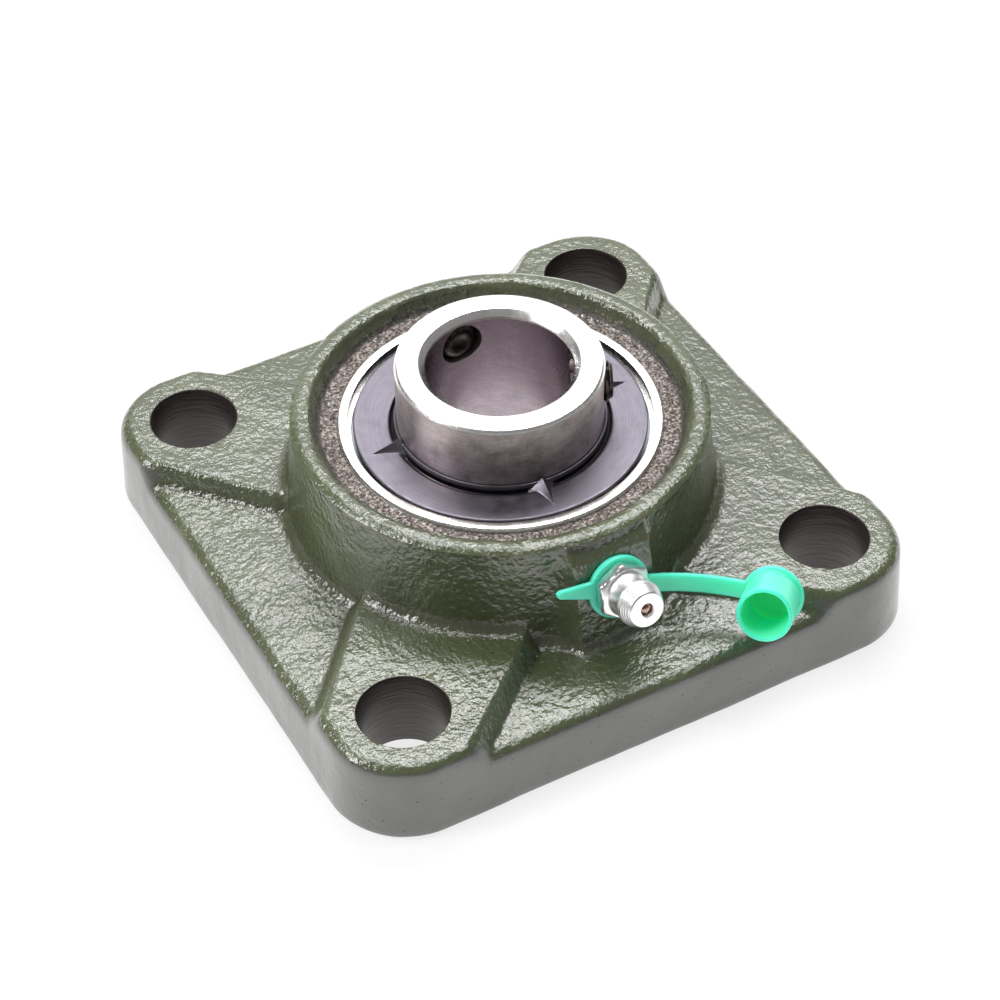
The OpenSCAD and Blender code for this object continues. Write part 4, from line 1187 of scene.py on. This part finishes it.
# %% Cap material
def soft_plastic(name, deep, pale):
    """Moulded polyethylene: cloudy in tone by a 4 mm noise, with a faint ripple in its surface."""
    mat, shader, place = new_material(name)
    cloud = add(mat, "TexNoise", {"Vector": place, "Scale": per_mm(4.0), "Detail": 2.0})
    tone = add(mat, "ValToRGB", {0: cloud}, stops=((0.3, linear(deep)), (0.7, linear(pale))))
    ripple = add(mat, "TexNoise", {"Vector": place, "Scale": per_mm(1.2), "Detail": 2.0})
    relief = add(mat, "Bump", {"Height": ripple, "Distance": 0.03 * MM, "Strength": 1.0})
    fill(mat, shader, {"Base Color": tone, "Roughness": 0.3, "IOR": 1.51, "Normal": relief,
                       "Subsurface Weight": 0.9, "Subsurface Scale": 3.0 * MM,
                       "Subsurface Radius": (0.3, 1.0, 0.75)})
    return mat


def cup_inside(piece):
    """Faces within the cup's wall: nearer than its mean radius to the cup's axis, and above its floor."""
    centre, _ = face_data(piece)
    place = (centre - NIPPLE_SEAT) @ NIPPLE_AXES.T - [0, 0, CAP_MID]
    place = turn_flat(place, -STRAP_DROP) - CUP_PLACE
    along, depth = place @ CUP_ALONG - CUP_RIM_R, place @ CUP_UP
    near = np.hypot(along, place[:, 1]) < CUP_R - CUP_WALL / 2
    return near & (depth > 0.3) & (depth < CUP_L - CUP_WALL)


CAP_OUTSIDE = soft_plastic("moulded_soft_polyethylene", "#4ae4b4", "#57eabd")
CAP_INSIDE = soft_plastic("moulded_polyethylene_inside", "#5cfbb2", "#66ffba")
in_cup = cup_inside(cap)
paint(cap, in_cup, CAP_OUTSIDE, CAP_INSIDE)
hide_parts("grease_cap")
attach(cap, "cap")
print("faces inside the cup:", int(in_cup.sum()))

# %% [markdown]
# ## The check ball's spring
# A coiled wire holds the ball on its seat. It is a circle carried along a helix, whose first and last
# turns lie flat so that the spring stands square. When grease pushes the ball in, the spring gets
# shorter; here it is drawn at rest, with a mesh of its own.

# %% Check spring
WIRE_D, SPRING_TURNS, BALL_TRAVEL = 0.25, 7.5, 0.5
SPRING_R = BALL_HOLE_R - WIRE_D / 2 - 0.06
SPRING_BACK = -3.5
SPRING_FRONT = CHECK_BALL_AT - np.sqrt((CHECK_BALL_R + WIRE_D / 2) ** 2 - SPRING_R ** 2) - 0.05


def spring_sections():
    """Circles of the wire's radius along the helix (R cos a, R sin a, height), where the height rises
    evenly with the angle a but for the flat end turns."""
    turns = np.linspace(0, SPRING_TURNS, 180)
    height = np.interp(turns, [0, 1, SPRING_TURNS - 1, SPRING_TURNS],
                       [SPRING_BACK, SPRING_BACK + WIRE_D, SPRING_FRONT - WIRE_D, SPRING_FRONT])
    a, b = TURN * column(turns), np.linspace(0, TURN, 12, endpoint=False)[None, :]
    r = SPRING_R + WIRE_D / 2 * np.cos(b)
    return np.stack([r * np.cos(a), r * np.sin(a), column(height) + WIRE_D / 2 * np.sin(b)], axis=-1)


coil, coil_faces = loft(spring_sections())
spring = mesh_piece("check_spring_wire", [(on_nipple(coil), coil_faces)], 60.0)
paint(spring, 0, WIRE_STEEL)
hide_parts("nipple_spring")
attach(spring, "flange_housing")
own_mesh(spring)
print("spring: %.2f mm long, %d faces" % (SPRING_FRONT - SPRING_BACK, len(spring.data.polygons)))

# %% [markdown]
# ## Finishes for the pieces inside
# The balls, cage, rivets and seals keep their CAD shapes, which are right as they are. Each gets the
# finish of its own process.

# %% Dress the CAD nodes that stay
finishes = {BALL_STEEL: [f"ball_{number}" for number in range(1, 9)],
            CAGE_STEEL: ["cage_front_half", "cage_rear_half"],
            RIVET_STEEL: ["cage_rivets"],
            CARRIER_STEEL: ["front_seal_shield", "rear_seal_shield"],
            RUBBER: ["front_seal_lip", "rear_seal_lip"]}
for mat, nodes in finishes.items():
    for node in nodes:
        mesh = frame["nodes"][node].data
        mesh.materials.clear()
        mesh.materials.append(mat)
print("dressed CAD nodes:", sum(len(nodes) for nodes in finishes.values()))

# %% [markdown]
# ## The floor
# The photograph is a catalogue shot on white paper. The floor is a large plain square just under the
# mounting face. It looks white to the camera and to mirroring metal, through a part of light of its
# own, and its own diffuse part keeps a faint shadow.

# %% Floor
FLOOR_HALF, FLOOR_DROP = 3.0, 0.0002
floor_mesh = bpy.data.meshes.new("studio_floor")
corners = FLOOR_HALF * np.array([[-1, -1, 0], [1, -1, 0], [1, 1, 0], [-1, 1, 0]])
floor_mesh.from_pydata(corners, [], [(0, 1, 2, 3)])
floor = bpy.data.objects.new("studio_floor", floor_mesh)
floor.location.z = -FLOOR_DROP
bpy.context.scene.collection.objects.link(floor)


def floor_paper():
    """White paper, four fifths its own light where the camera or a mirror sees it. A mirror sees that
    light twice as strong."""
    mat, shader, _ = new_material("white_studio_paper")
    fill(mat, shader, {"Base Color": linear("#f2f2f2"), "Roughness": 0.9})
    rays = add(mat, "LightPath", {})
    mirrored = rays.outputs["Is Glossy Ray"]
    seen = add(mat, "Math", {0: rays.outputs["Is Camera Ray"], 1: mirrored}, operation="MAXIMUM")
    strength = add(mat, "Math", {0: mirrored, 1: 1.0}, operation="ADD")
    glow = add(mat, "Emission", {"Color": grey(1.0), "Strength": strength})
    share = add(mat, "Math", {0: seen, 1: 0.8}, operation="MULTIPLY")
    both = add(mat, "MixShader", {0: share, 1: shader, 2: glow})
    fill(mat, mat.node_tree.nodes["Material Output"], {"Surface": both})
    return mat


floor.data.materials.append(floor_paper())
print("floor:", floor.dimensions.x, "m wide")

# %% [markdown]
# ## The lamps
# A long softbox above and behind is what the flat faces mirror to the camera, so it draws the paint's
# sparkles. A strip high up edges the rims, a broad low lamp behind lights the walls that lean back,
# and a small one at the left lights the left side. Little comes from the front.


# %% Lamps and world
def soft_light(name, azimuth, height, distance, size, power):
    """A rectangular lamp that faces the bearing from an azimuth and height in degrees."""
    a, h = np.radians([azimuth, height])
    place = Vector((np.sin(a) * np.cos(h), -np.cos(a) * np.cos(h), np.sin(h))) * distance
    data = bpy.data.lights.new(name, "AREA")
    data.shape, data.energy = "RECTANGLE", power
    data.size, data.size_y = size
    lamp = bpy.data.objects.new(name, data)
    lamp.location = place
    lamp.rotation_euler = place.to_track_quat("Z", "Y").to_euler()
    bpy.context.scene.collection.objects.link(lamp)


soft_light("overhead_softbox", 147, 59, 1.4, (1.1, 0.36), 15.5)
soft_light("top_strip", 150, 84, 1.3, (1.4, 0.16), 7)
soft_light("backdrop_light", 152, 31, 1.5, (2.2, 0.9), 7.5)
soft_light("left_softbox", -105, 42, 1.2, (0.4, 0.5), 9)

world = bpy.data.worlds.new("studio_world")
bpy.context.scene.world = world
world.use_nodes = True
sky = world.node_tree.nodes["Background"]
sky.inputs["Color"].default_value = grey(1.0)
sky.inputs["Strength"].default_value = 0.25
bpy.context.scene.view_settings.view_transform = "Standard"
print("lamps:", len(bpy.data.lights))
